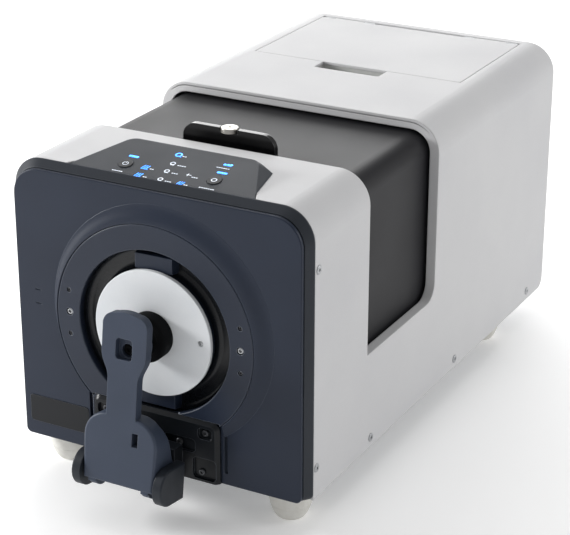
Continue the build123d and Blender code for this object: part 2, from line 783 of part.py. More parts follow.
with BuildPart() as sample_arm:
    with BuildSketch(arm_plane.offset(arm_face)):
        add(apron_outline(0, apron_foot))
    extrude(amount=-apron_depth)
    # the side walls are deeper at the hinge than at the shoulders
    with BuildSketch(Plane.YZ) as slant:
        with BuildLine():
            Polyline(
                apron_point(apron_depth, apron_top + 1),
                apron_point(apron_depth + 1, apron_top + 1),
                apron_point(apron_depth + 1, slant_foot),
                apron_point(apron_depth, slant_foot),
                apron_point(apron_shoulder_depth, apron_top - 6),
                apron_point(apron_shoulder_depth, apron_top + 1),
                close=True,
            )
        make_face()
    extrude(amount=apron_width, both=True, mode=Mode.SUBTRACT)
    apron_face = sample_arm.faces().sort_by(arm_axis)[-1]
    fillet(apron_face.edges(), apron_edge_radius)
    with BuildSketch(arm_plane.offset(arm_face - apron_wall)):
        add(apron_outline(apron_wall, apron_foot + 20))
    extrude(amount=-apron_depth, mode=Mode.SUBTRACT)
    with BuildSketch(arm_plane.offset(arm_face)):
        with BuildLine():
            n = neck_width / 2
            h = head_width / 2
            bend = head_corner * (1 - cos(radians(45)))
            side_top = arm_length - head_corner - head_crown
            Polyline((-n, neck_top), (-n, blade_foot), (n, blade_foot), (n, neck_top))
            Spline((n, neck_top), (h, head_foot), tangents=((0, 1), (0, 1)))
            Line((h, head_foot), (h, side_top))
            ThreePointArc((h, side_top), (h - bend, side_top + head_corner - bend),
                          (h - head_corner, side_top + head_corner))
            ThreePointArc((h - head_corner, side_top + head_corner), (0, arm_length),
                          (-h + head_corner, side_top + head_corner))
            ThreePointArc((-h + head_corner, side_top + head_corner),
                          (-h + bend, side_top + head_corner - bend), (-h, side_top))
            Line((-h, side_top), (-h, head_foot))
            Spline((-h, head_foot), (-n, neck_top), tangents=((0, -1), (0, -1)))
        make_face()
    extrude(amount=-arm_thickness)
    # boss that guides the pad's stem
    with BuildSketch(facing(front_y - pad_boss_front)):
        with Locations((0, port_height)):
            Circle(pad_boss_radius)
    extrude(amount=pad_boss_root - pad_boss_front)
    with BuildSketch(facing(front_y - pad_boss_front)):
        with Locations((0, port_height)):
            Circle(pad_stem_radius + running_fit)
    extrude(amount=hinge_reach, mode=Mode.SUBTRACT)
    with BuildSketch(arm_plane.offset(arm_face)):
        with Locations((0, window_rise)):
            RectangleRounded(window_width, window_height, 3)
    extrude(amount=-window_depth, mode=Mode.SUBTRACT)
    # slot beside the neck
    with BuildSketch(arm_plane.offset(arm_face + 1)):
        with Locations(slot_spot):
            Rectangle(slot_size[0], slot_size[1])
    extrude(amount=-9, mode=Mode.SUBTRACT)
    # lugs on the hinge pin
    for side in (-1, 1):
        with BuildSketch(hinge_side(side * lug_inner)):
            Circle(lug_radius)
            Rectangle(arm_face - 0.6, 1.5 * knuckle_radius, align=(Align.MIN, Align.CENTER))
        extrude(amount=side * lug_thickness)
    with BuildSketch(Plane.YZ):
        with Locations((hinge_y, hinge_height)):
            Circle(pin_radius + running_fit)
    extrude(amount=apron_half + 1, both=True, mode=Mode.SUBTRACT)
finish(sample_arm, "sample_arm")

for side, cap_name in ((-1, "arm_cap_left"), (1, "arm_cap_right")):
    with BuildPart() as arm_cap:
        with BuildSketch(hinge_side(side * cap_inner)):
            Circle(cap_radius)
            Rectangle(cap_length, 2 * cap_radius, align=(Align.MAX, Align.CENTER))
        extrude(amount=side * cap_thickness)
        fillet(arm_cap.faces().sort_by(Axis.X)[-1 if side > 0 else 0].edges(), 1.4)
        with BuildSketch(hinge_side(side * cap_inner)):
            Circle(pin_radius + running_fit)
        extrude(amount=side * 4.6, mode=Mode.SUBTRACT)
    finish(arm_cap, cap_name)

pad_face_y = front_y - mask_proud - seat_gap
pad_back_y = pad_face_y - pad_thickness
stem_end_y = front_y - 36.0
stem_cap_radius = 4.2
stem_cap_height = 2.2
with BuildPart() as sample_pad:
    with BuildSketch(facing(pad_face_y)):
        with Locations((0, port_height)):
            Circle(pad_radius)
    extrude(amount=pad_thickness)
    fillet(sample_pad.faces().sort_by(Axis.Y)[0].edges(), 2.4)
    fillet(sample_pad.faces().sort_by(Axis.Y)[-1].edges(), 0.6)
    with BuildSketch(facing(pad_back_y + 1)):
        with Locations((0, port_height)):
            Circle(pad_stem_radius)
    extrude(amount=pad_back_y + 1 - stem_end_y)
    with BuildSketch(facing(stem_end_y)):
        with Locations((0, port_height)):
            Circle(stem_cap_radius)
    extrude(amount=stem_cap_height)
finish(sample_pad, "sample_pad")

# ---------- control panel ----------

wedge_plane = Plane(
    origin=(0, wedge_front_y, wedge_front_height),
    x_dir=(1, 0, 0),
    z_dir=(0, -sin(radians(wedge_tilt)), cos(radians(wedge_tilt))),
)
button_gap = 0.15
light_depth = 0.8

with BuildPart() as wedge_flanks:
    with BuildSketch(wedge_plane):
        add(wedge_outline(0, wedge_length, 0))
    extrude(amount=-wedge_thickness, taper=-wedge_flare)
    split(bisect_by=Plane.XY.offset(front_arch_top + seat_gap), keep=Keep.TOP)
    split(bisect_by=facing(wedge_front_y + wedge_run), keep=Keep.TOP)
    split(bisect_by=facing(wedge_front_y), keep=Keep.BOTTOM)

with BuildPart() as control_panel:
    # plug that fills the hole in the shell
    with BuildSketch(Plane.XY.offset(wedge_front_height - wedge_thickness)):
        add(wedge_outline(wedge_front_y, wedge_run, 0))
    extrude(amount=3 * wedge_thickness)
    split(bisect_by=wedge_plane, keep=Keep.BOTTOM)
    add(wedge_flanks.part)
    with BuildSketch(wedge_plane):
        with Locations((-button_offset, button_row), (button_offset, button_row)):
            Circle(button_radius + button_gap)
    extrude(amount=-(button_height + button_travel), mode=Mode.SUBTRACT)
    with BuildSketch(wedge_plane):
        with Locations((-button_offset, light_row), (button_offset, light_row)):
            SlotOverall(light_width, light_length)
    extrude(amount=-light_depth, mode=Mode.SUBTRACT)
finish(control_panel, "control_panel")

for side, button_name in ((-1, "power_button"), (1, "measure_button")):
    with BuildPart() as button:
        with BuildSketch(wedge_plane.offset(button_proud - button_height)):
            with Locations((side * button_offset, button_row)):
                Circle(button_radius)
        extrude(amount=button_height)
        fillet(button.faces().sort_by(Axis.Z)[-1].edges(), 0.5)
    finish(button, button_name)

with BuildPart() as status_lights:
    with BuildSketch(wedge_plane.offset(-light_depth)):
        with Locations((-button_offset, light_row), (button_offset, light_row)):
            SlotOverall(light_width, light_length)
    extrude(amount=light_depth + 0.15)
finish(status_lights, "status_lights")

# ---------- sliding chamber cover and its rails ----------

cover_half = cover_width / 2
cover_front_y = opening_front_y + cover_front_gap
cover_rear_y = opening_rear_y + cover_tuck

with BuildPart() as chamber_cover:
    with BuildSketch(facing(cover_front_y)):
        add(arch_outline(cover_half, cover_foot, cover_top, cover_corner_radius))
        add(arch_outline(cover_half - cover_wall, cover_foot, cover_top - cover_wall,
                         cover_corner_radius - cover_wall), mode=Mode.SUBTRACT)
    extrude(amount=-(cover_rear_y - cover_front_y))
finish(chamber_cover, "chamber_cover")

handle_y = cover_front_y + handle_setback
handle_top = cover_top + handle_height
knob_foot = handle_top - knob_notch_depth
knob_stem_radius = 2.0
knob_stem_length = 9.0
knob_y = handle_y + handle_thickness / 2

with BuildPart() as cover_handle:
    with BuildSketch(facing(handle_y)) as tab:
        add(arch_outline(handle_width / 2, cover_top, handle_top, handle_corner_radius))
        with Locations((0, handle_top)):
            Rectangle(2 * knob_radius + 2, 2 * knob_notch_depth, mode=Mode.SUBTRACT)
    extrude(amount=-handle_thickness)
    with BuildSketch(Plane.XY.offset(knob_foot)):
        with Locations((0, knob_y)):
            Circle(knob_stem_radius + running_fit)
    extrude(amount=-(knob_stem_length + 0.5), mode=Mode.SUBTRACT)
finish(cover_handle, "cover_handle")

with BuildPart() as cover_knob:
    with BuildSketch(Plane.XY.offset(knob_foot + seat_gap)):
        with Locations((0, knob_y)):
            Circle(knob_radius)
    extrude(amount=knob_height)
    fillet(cover_knob.faces().sort_by(Axis.Z)[-1].edges(), 0.8)
    with BuildSketch(Plane.XY.offset(knob_foot + seat_gap)):
        with Locations((0, knob_y)):
            Circle(knob_stem_radius)
    extrude(amount=-(knob_stem_length))
    with BuildSketch(Plane.XY.offset(knob_foot + seat_gap + knob_height)):
        with Locations((0, knob_y)):
            Circle(1.6)
    extrude(amount=-1.2, mode=Mode.SUBTRACT)
finish(cover_knob, "cover_knob")

rail_inner = cowl_width / 2 + 0.5
rail_outer = inside_half_width - seat_gap
rail_foot = 98.0
rail_top = 108.0
rail_rear_y = cover_rear_y + cover_travel + 3.0
for side, rail_name in ((-1, "cover_rail_left"), (1, "cover_rail_right")):
    with BuildPart() as rail:
        with BuildSketch(facing(opening_front_y + 0.5)):
            with Locations((side * (rail_inner + rail_outer) / 2, rail_foot)):
                Rectangle(rail_outer - rail_inner, rail_top - rail_foot, align=(Align.CENTER, Align.MIN))
            with Locations((side * (cover_half - cover_wall / 2), cover_foot - slide_gap)):
                Rectangle(cover_wall + 2 * slide_gap, 20, align=(Align.CENTER, Align.MIN), mode=Mode.SUBTRACT)
        extrude(amount=-(rail_rear_y - opening_front_y - 0.5))
    finish(rail, rail_name)

# ---------- integrating sphere and sample chamber ----------

sphere_outer = sphere_radius + sphere_wall
sphere_reach = 66.0  # from the back of the port ring to the sphere's middle
sphere_y = ring_back_y + sphere_reach
sphere_collar = 9.0
boss_root = 8.0  # depth of a boss into the sphere's wall
beam_passage = 60.0
flange_depth = 4.0
bulkhead_setback = 3.8
bulkhead_front_y = opening_rear_y - bulkhead_setback
cowl_rear_y = bulkhead_front_y - chamber_length
cowl_reach = 60.0
cowl_front_y = front_y + cowl_reach
beam_neck_radius = beam_radius + 4.0
lamp_y = sphere_y + 24.0
lamp_radius = 17.0
lamp_foot = port_height + sphere_outer + 4.0
lamp_height = 20.0
lamp_wall = 2.5
lamp_window_radius = 10.0
lamp_base_radius = 9.0
lamp_base_height = 4.0
bulb_radius = 5.0
bulb_length = 10.0
bulb_tip_radius = 3.0
trap_plane = Plane(
    origin=(0, sphere_y, port_height),
    x_dir=(1, 0, 0),
    z_dir=(0, cos(radians(trap_angle)), sin(radians(trap_angle))),
)
trap_radius = 8.0
trap_wall = 3.0
trap_boss_height = 9.0
trap_cap_rim = 2.4
trap_cap_thickness = 2.0

with BuildPart() as sphere_front_half:
    with Locations((0, sphere_y, port_height)):
        Sphere(sphere_outer)
    with BuildSketch(facing(sphere_y)):
        with Locations((0, port_height)):
            Circle(sphere_outer + sphere_flange)
    extrude(amount=flange_depth)
    with BuildSketch(facing(ring_back_y)):
        with Locations((0, port_height)):
            Circle(port_radius + sphere_collar)
    extrude(amount=-boss_root)
    with Locations((0, sphere_y, port_height)):
        Sphere(sphere_radius, mode=Mode.SUBTRACT)
    split(bisect_by=facing(sphere_y), keep=Keep.TOP)
    split(bisect_by=facing(ring_back_y), keep=Keep.BOTTOM)
finish(sphere_front_half, "sphere_front_half")

with BuildPart() as sphere_rear_half:
    with Locations((0, sphere_y, port_height)):
        Sphere(sphere_outer)
    with BuildSketch(facing(sphere_y + flange_depth)):
        with Locations((0, port_height)):
            Circle(sphere_outer + sphere_flange)
    extrude(amount=flange_depth)
    with BuildSketch(facing(sphere_y + sphere_radius - boss_root)):
        with Locations((0, port_height)):
            Circle(beam_neck_radius)
    extrude(amount=-(cowl_rear_y - cowl_wall - seat_gap - sphere_y - sphere_radius + boss_root))
    with BuildSketch(Plane.XY.offset(port_height + sphere_radius - boss_root)):
        with Locations((0, lamp_y)):
            Circle(lamp_radius)
    extrude(amount=lamp_foot - port_height - sphere_radius + boss_root)
    with BuildSketch(trap_plane.offset(sphere_radius - boss_root / 2)):
        Circle(trap_radius + trap_wall)
    extrude(amount=trap_boss_height + boss_root / 2)
    with Locations((0, sphere_y, port_height)):
        Sphere(sphere_radius, mode=Mode.SUBTRACT)
    split(bisect_by=facing(sphere_y), keep=Keep.BOTTOM)
    with BuildSketch(facing(sphere_y + sphere_radius - 2 * boss_root)):
        with Locations((0, port_height)):
            Circle(beam_radius)
    extrude(amount=-beam_passage, mode=Mode.SUBTRACT)
    with BuildSketch(Plane.XY.offset(port_height + sphere_radius - 2 * boss_root)):
        with Locations((0, lamp_y)):
            Circle(lamp_window_radius)
    extrude(amount=beam_passage, mode=Mode.SUBTRACT)
    with BuildSketch(trap_plane.offset(sphere_radius - 2 * boss_root)):
        Circle(trap_radius)
    extrude(amount=beam_passage, mode=Mode.SUBTRACT)
finish(sphere_rear_half, "sphere_rear_half")

trap_boss_end = sphere_radius + trap_boss_height
with BuildPart() as trap_plug:
    with BuildSketch(trap_plane.offset(sphere_radius + 0.5)):
        Circle(trap_radius - running_fit)
    extrude(amount=trap_boss_end - sphere_radius)
    with BuildSketch(trap_plane.offset(trap_boss_end + seat_gap)):
        Circle(trap_radius + trap_cap_rim)
    extrude(amount=trap_cap_thickness)
finish(trap_plug, "trap_plug")

cradle_width = 100.0
cradle_length = 44.0
cradle_floor = 3.0
cradle_rib = 14.0
cradle_height = 62.0
with BuildPart() as sphere_cradle:
    with BuildSketch(Plane.XY.offset(base_top)):
        with Locations((0, sphere_y)):
            Rectangle(cradle_width, cradle_length)
    extrude(amount=cradle_floor)
    for side in (-1, 1):
        with BuildSketch(Plane.XY.offset(base_top)):
            with Locations((0, sphere_y + side * (cradle_length - cradle_rib) / 2)):
                Rectangle(cradle_width, cradle_rib)
        extrude(amount=cradle_height)
    with Locations((0, sphere_y, port_height)):
        Sphere(sphere_outer + seat_gap, mode=Mode.SUBTRACT)
finish(sphere_cradle, "sphere_cradle")

with BuildPart() as lamp_housing:
    with BuildSketch(Plane.XY.offset(lamp_foot)):
        with Locations((0, lamp_y)):
            Circle(lamp_radius)
    extrude(amount=lamp_height)
    with BuildSketch(Plane.XY.offset(lamp_foot)):
        with Locations((0, lamp_y)):
            Circle(lamp_radius - lamp_wall)
    extrude(amount=lamp_height - lamp_wall, mode=Mode.SUBTRACT)
finish(lamp_housing, "lamp_housing")

with BuildPart() as flash_lamp:
    with BuildSketch(Plane.XY.offset(lamp_foot + lamp_height - lamp_wall)):
        with Locations((0, lamp_y)):
            Circle(lamp_base_radius)
    extrude(amount=-lamp_base_height)
    with BuildSketch(Plane.XY.offset(lamp_foot + lamp_height - lamp_wall - lamp_base_height)):
        with Locations((0, lamp_y)):
            Circle(bulb_radius)
    extrude(amount=-bulb_length)
    fillet(flash_lamp.faces().sort_by(Axis.Z)[0].edges(), bulb_tip_radius)
finish(flash_lamp, "flash_lamp")

cowl_half = cowl_width / 2
cowl_clearance = 2.5
cowl_top = cover_top - cover_wall - cowl_clearance
with BuildPart() as chamber_cowl:
    with BuildSketch(facing(cowl_front_y)):
        add(arch_outline(cowl_half, base_top, cowl_top, cowl_corner_radius))
    extrude(amount=-(cowl_rear_y - cowl_front_y))
    with BuildSketch(facing(cowl_front_y)):
        add(arch_outline(cowl_half - cowl_wall, base_top, cowl_top - cowl_wall,
                         cowl_corner_radius - cowl_wall))
    extrude(amount=-(cowl_rear_y - cowl_wall - cowl_front_y), mode=Mode.SUBTRACT)
    with BuildSketch(facing(cowl_front_y)):
        with Locations((0, port_height)):
            Circle(beam_radius)
    extrude(amount=-housing_depth, mode=Mode.SUBTRACT)
finish(chamber_cowl, "chamber_cowl")

chamber_floor_height = 104.0
barrel_radius = beam_radius + 3.0
with BuildPart() as chamber_tray:
    # floor of the sample chamber, bent up into its rear wall
    with BuildSketch(facing(cowl_rear_y)):
        with Locations((0, chamber_floor_height)):
            Rectangle(cowl_width, cowl_wall, align=(Align.CENTER, Align.MAX))
    extrude(amount=-chamber_length)
    with BuildSketch(facing(bulkhead_front_y)):
        add(arch_outline(cowl_half, base_top, cowl_top, cowl_corner_radius))
        with Locations((0, port_height)):
            Circle(barrel_radius + screw_gap, mode=Mode.SUBTRACT)
    extrude(amount=-cowl_wall)
finish(chamber_tray, "chamber_tray")

optics_gap = 12.0
optics_front_y = bulkhead_front_y + optics_gap
barrel_flange = 3.0
barrel_rim = 4.0
barrel_wall = 2.0
lens_seat_depth = 9.0
with BuildPart() as lens_barrel:
    with BuildSketch(facing(bulkhead_front_y - barrel_flange)):
        with Locations((0, port_height)):
            Circle(barrel_radius + barrel_rim)
    extrude(amount=-barrel_flange)
    with BuildSketch(facing(bulkhead_front_y)):
        with Locations((0, port_height)):
            Circle(barrel_radius)
    extrude(amount=-(optics_front_y - bulkhead_front_y))
    with BuildSketch(facing(bulkhead_front_y - barrel_flange)):
        with Locations((0, port_height)):
            Circle(beam_radius)
    extrude(amount=-lens_seat_depth, mode=Mode.SUBTRACT)
    with BuildSketch(facing(bulkhead_front_y - barrel_flange)):
        with Locations((0, port_height)):
            Circle(beam_radius - barrel_wall)
    extrude(amount=-2 * optics_gap, mode=Mode.SUBTRACT)
finish(lens_barrel, "lens_barrel")

lens_radius = beam_radius - screw_gap
lens_thickness = 5.5
lens_curve_radius = 35.0
lens_front_y = bulkhead_front_y + 0.5
with BuildPart() as objective_lens:
    with BuildSketch(facing(lens_front_y)):
        with Locations((0, port_height)):
            Circle(lens_radius)
    extrude(amount=-lens_thickness)
    with Locations((0, lens_front_y + lens_curve_radius, port_height)):
        Sphere(lens_curve_radius, mode=Mode.INTERSECT)
finish(objective_lens, "objective_lens")

# ---------- optics, electronics and power ----------

bracket_half = half_width - 35.5
bracket_length = 178.0
bracket_top = 86.0
bracket_wall = 3.0
with BuildPart() as optics_bracket:
    with BuildSketch(facing(optics_front_y)):
        with Locations((0, base_top)):
            Rectangle(2 * bracket_half, bracket_top - base_top, align=(Align.CENTER, Align.MIN))
            Rectangle(2 * (bracket_half - bracket_wall), bracket_top - base_top - bracket_wall,
                      align=(Align.CENTER, Align.MIN), mode=Mode.SUBTRACT)
    extrude(amount=-bracket_length)
finish(optics_bracket, "optics_bracket")

spectro_left = -86.0
spectro_width = 132.0
spectro_length = 152.0
spectro_height = 118.0
spectro_wall = 3.0
spectro_x = spectro_left + spectro_width / 2
with BuildPart() as spectrometer_housing:
    with BuildSketch(Plane.XY.offset(bracket_top)):
        with Locations((spectro_x, optics_front_y)):
            Rectangle(spectro_width, spectro_length, align=(Align.CENTER, Align.MIN))
    extrude(amount=spectro_height)
    with BuildSketch(Plane.XY.offset(bracket_top + spectro_wall)):
        with Locations((spectro_x, optics_front_y + spectro_wall)):
            Rectangle(spectro_width - 2 * spectro_wall, spectro_length - 2 * spectro_wall,
                      align=(Align.CENTER, Align.MIN))
    extrude(amount=spectro_height, mode=Mode.SUBTRACT)
    with BuildSketch(facing(optics_front_y)):
        with Locations((0, port_height)):
            Circle(beam_radius - 4)
    extrude(amount=-spectro_wall, mode=Mode.SUBTRACT)
finish(spectrometer_housing, "spectrometer_housing")

with BuildPart() as spectrometer_cover:
    with BuildSketch(Plane.XY.offset(bracket_top + spectro_height)):
        with Locations((spectro_x, optics_front_y)):
            Rectangle(spectro_width, spectro_length, align=(Align.CENTER, Align.MIN))
    extrude(amount=spectro_wall)
finish(spectrometer_cover, "spectrometer_cover")

grating_y = optics_front_y + spectro_length - spectro_wall
grating_radius = 24.0
grating_thickness = 9.0
grating_curve_radius = 122.0
grating_hollow = 4.0
with BuildPart() as concave_grating:
    with BuildSketch(facing(grating_y)):
        with Locations((0, port_height)):
            Circle(grating_radius)
    extrude(amount=grating_thickness)
    with Locations((0, grating_y - grating_thickness + grating_hollow - grating_curve_radius, port_height)):
        Sphere(grating_curve_radius, mode=Mode.SUBTRACT)
finish(concave_grating, "concave_grating")

board_thickness = 1.6
sensor_reach = 60.0
sensor_board_length = 70.0
sensor_board_height = 60.0
sensor_length = 44.0
sensor_height = 12.0
sensor_thickness = 4.0
with BuildPart() as sensor_board:
    with BuildSketch(Plane.YZ.offset(spectro_left + spectro_wall)):
        with Locations((optics_front_y + sensor_reach, port_height)):
            Rectangle(sensor_board_length, sensor_board_height)
    extrude(amount=board_thickness)
    with BuildSketch(Plane.YZ.offset(spectro_left + spectro_wall + board_thickness)):
        with Locations((optics_front_y + sensor_reach, port_height)):
            Rectangle(sensor_length, sensor_height)
    extrude(amount=sensor_thickness)
finish(sensor_board, "sensor_board")

chip_side = 24.0
chip_thickness = 5.0
chip_left = 0.2 * board_width
chip_right = 0.09 * board_width
chip_rear = 0.18 * board_length
header_width = 16.0
header_length = 40.0
header_right = board_width / 3
with BuildPart() as main_board:
    with BuildSketch(Plane.XY.offset(base_top + board_lift)):
        with Locations((board_x, board_y)):
            Rectangle(board_width, board_length)
    extrude(amount=board_thickness)
    with BuildSketch(Plane.XY.offset(base_top + board_lift + board_thickness)):
        with Locations((board_x - chip_left, board_y), (board_x + chip_right, board_y + chip_rear)):
            Rectangle(chip_side, chip_side)
        with Locations((board_x + header_right, board_y - chip_rear)):
            Rectangle(header_width, header_length)
    extrude(amount=chip_thickness)
finish(main_board, "main_board")

supply_width = 84.0
supply_length = 50.0
supply_height = 66.0
supply_x = 62.0
supply_gap = 6.0
supply_corner = 2.0
with BuildPart() as power_supply:
    with BuildSketch(Plane.XY.offset(base_top)):
        with Locations((supply_x, optics_front_y + bracket_length + supply_gap)):
            Rectangle(supply_width, supply_length, align=(Align.CENTER, Align.MIN))
    extrude(amount=supply_height)
    fillet(power_supply.edges().filter_by(Axis.Z), supply_corner)
finish(power_supply, "power_supply")

capacitor_radius = 21.0
capacitor_length = 86.0
capacitor_left = -100.0
capacitor_corner = 2.0
capacitor_y = optics_front_y + bracket_length + supply_gap + capacitor_radius + 7.0
with BuildPart() as flash_capacitor:
    with BuildSketch(Plane.YZ.offset(capacitor_left)):
        with Locations((capacitor_y, base_top + capacitor_radius + seat_gap)):
            Circle(capacitor_radius)
    extrude(amount=capacitor_length)
    fillet(flash_capacitor.edges(), capacitor_corner)
finish(flash_capacitor, "flash_capacitor")

# ---------- rear panel ----------

rear_panel_y = shell_rear_y - rear_panel_inset - rear_panel_thickness
rear_outer_y = shell_rear_y - rear_panel_inset
inlet_spot = (-84.0, 72.0)
switch_spot = (-84.0, 112.0)
port_spots = [(30.0, 72.0), (72.0, 72.0)]
port_sizes = [(13.0, 12.0), (31.0, 11.0)]
inlet_width = 28.0
inlet_height = 21.0
switch_width = 24.0
switch_height = 30.0
vent_width = 46.0
vent_height = 3.0
vent_pitch = 8.0
vent_rows = 8
vent_middle = 190.0
vent_spacing = 80.0
rear_screw_edge = 9.0
rear_screw_rises = (12.0, 108.0, 208.0)
rear_screw_spots = [
    (side * (inside_half_width - rear_screw_edge), base_top + rise)
    for side in (-1, 1)
    for rise in rear_screw_rises
]
rear_lip_width = housing_width - 51.0
rear_lip_depth = 12.0
rear_lip_thickness = 2.0

with BuildPart() as rear_panel:
    with BuildSketch(facing(rear_panel_y)):
        add(arch_outline(inside_half_width - seat_gap, base_top, shell_top - shell_wall - seat_gap,
                         shell_corner_radius - shell_wall))
        with Locations(inlet_spot):
            Rectangle(inlet_width + 2 * screw_gap, inlet_height + 2 * screw_gap, mode=Mode.SUBTRACT)
        with Locations(switch_spot):
            Rectangle(switch_width + 2 * screw_gap, switch_height + 2 * screw_gap, mode=Mode.SUBTRACT)
        for spot, port_size in zip(port_spots, port_sizes):
            with Locations(spot):
                Rectangle(port_size[0] + 2 * screw_gap, port_size[1] + 2 * screw_gap, mode=Mode.SUBTRACT)
        with Locations(*rear_screw_spots):
            Circle(side_screw_radius + screw_gap, mode=Mode.SUBTRACT)
        with Locations((0, vent_middle)):
            with GridLocations(vent_spacing, vent_pitch, 2, vent_rows):
                SlotOverall(vent_width, vent_height, mode=Mode.SUBTRACT)
    extrude(amount=-rear_panel_thickness)
    with BuildSketch(Plane.XY.offset(base_top)):
        with Locations((0, rear_panel_y)):
            Rectangle(rear_lip_width, rear_lip_depth, align=(Align.CENTER, Align.MAX))
    extrude(amount=rear_lip_thickness)
finish(rear_panel, "rear_panel")

with BuildPart() as case_screws:
    for side in (-1, 1):
        with BuildSketch(Plane.YZ.offset(side * half_width)):
            for reach, height in side_screw_spots:
                with Locations((front_y + reach, height)):
                    Circle(side_screw_head_radius)
        extrude(amount=side * side_screw_head)
        with BuildSketch(Plane.YZ.offset(side * half_width)):
            for reach, height in side_screw_spots:
                with Locations((front_y + reach, height)):
                    Circle(side_screw_radius)
        extrude(amount=-side * side_screw_length)
    with BuildSketch(facing(rear_outer_y)):
        with Locations(*rear_screw_spots):
            Circle(side_screw_head_radius)
    extrude(amount=-side_screw_head)
    with BuildSketch(facing(rear_outer_y)):
        with Locations(*rear_screw_spots):
            Circle(side_screw_radius)
    extrude(amount=side_screw_length)
finish(case_screws, "case_screws")

with BuildPart() as power_inlet:
    with BuildSketch(facing(rear_outer_y)):
        with Locations(inlet_spot):
            RectangleRounded(inlet_width + 20, inlet_height + 5, 3)
    extrude(amount=-2)
    with BuildSketch(facing(rear_outer_y)):
        with Locations(inlet_spot):
            Rectangle(inlet_width, inlet_height)
    extrude(amount=20)
    with BuildSketch(facing(rear_outer_y + 2)):
        with Locations(inlet_spot):
            RectangleRounded(inlet_width - 4, inlet_height - 5, 3)
    extrude(amount=18, mode=Mode.SUBTRACT)
    with BuildSketch(facing(rear_outer_y - 16)):
        with Locations((inlet_spot[0] - 7, inlet_spot[1] - 1.5), (inlet_spot[0] + 7, inlet_spot[1] - 1.5),
                       (inlet_spot[0], inlet_spot[1] + 2.5)):
            Rectangle(2, 4)
    extrude(amount=-15)
finish(power_inlet, "power_inlet")

rocker_radius = 11.6
rocker_half = 9.0
rocker_y = shell_rear_y - 11.0
rocker_face_y = shell_rear_y - 1.8
with BuildPart() as power_switch_frame:
    with BuildSketch(facing(rear_outer_y)):
        with Locations(switch_spot):
            RectangleRounded(switch_width + 4, switch_height + 4, 2)
    extrude(amount=-1.5)
    with BuildSketch(facing(rear_outer_y)):
        with Locations(switch_spot):
            Rectangle(switch_width, switch_height)
    extrude(amount=20)
    with BuildSketch(facing(rear_outer_y + 1.5)):
        with Locations(switch_spot):
            Rectangle(2 * rocker_half + 0.8, 2 * rocker_radius + 0.8)
    extrude(amount=20, mode=Mode.SUBTRACT)
    with BuildSketch(Plane.YZ.offset(switch_spot[0])):
        with Locations((rocker_y, switch_spot[1])):
            Circle(1.5 + running_fit)
    extrude(amount=rocker_half + 2.4, both=True, mode=Mode.SUBTRACT)
finish(power_switch_frame, "power_switch_frame")

with BuildPart() as power_rocker:
    with BuildSketch(Plane.YZ.offset(switch_spot[0])):
        with Locations((rocker_y, switch_spot[1])):
            Circle(rocker_radius)
        with Locations((rocker_face_y, switch_spot[1])):
            Rectangle(20, 40, align=(Align.MIN, Align.CENTER), mode=Mode.SUBTRACT)
        with Locations((rocker_y - 4, switch_spot[1])):
            Rectangle(20, 40, align=(Align.MAX, Align.CENTER), mode=Mode.SUBTRACT)
    extrude(amount=rocker_half, both=True)
    with BuildSketch(Plane.YZ.offset(switch_spot[0])):
        with Locations((rocker_y, switch_spot[1])):
            Circle(1.5)
    extrude(amount=rocker_half + 2.2, both=True)
finish(power_rocker, "power_rocker")

with BuildPart() as data_ports:
    with BuildSketch(facing(rear_outer_y)):
        for spot, port_size in zip(port_spots, port_sizes):
            with Locations(spot):
                Rectangle(port_size[0], port_size[1])
    extrude(amount=12)
    with BuildSketch(facing(rear_outer_y)):
        for spot, port_size in zip(port_spots, port_sizes):
            with Locations(spot):
                RectangleRounded(port_size[0] + 4, port_size[1] + 4, 1.5)
    extrude(amount=-1.2)
    with BuildSketch(facing(rear_outer_y + 1.2)):
        for spot, port_size in zip(port_spots, port_sizes):
            with Locations(spot):
                RectangleRounded(port_size[0] - 3, port_size[1] - 3, 1.5)
    extrude(amount=9, mode=Mode.SUBTRACT)
finish(data_ports, "data_ports")

# ---------- rear lid, tray and finger well ----------

tray_half = lid_width / 2 - 4.0
tray_front_y = lid_front_y + 8.0
tray_rear_y = lid_rear_y - 3.5
tray_rim_top = shell_top - shell_wall - seat_gap
tray_rim = 3.0
tray_wall = 2.0
tray_depth = 52.0

tray_floor = tray_rim_top - tray_depth + tray_wall
tray_middle_y = (tray_front_y + tray_rear_y) / 2
scoop_wall = 1.5
scoop_floor = shell_top - slot_depth
scoop_front_y = slot_front_y - scoop_wall
tile_radius = 32.0
tile_thickness = 5.0
tile_offset = -40.0
tile_ring = 5.0
tile_seat = 3.0

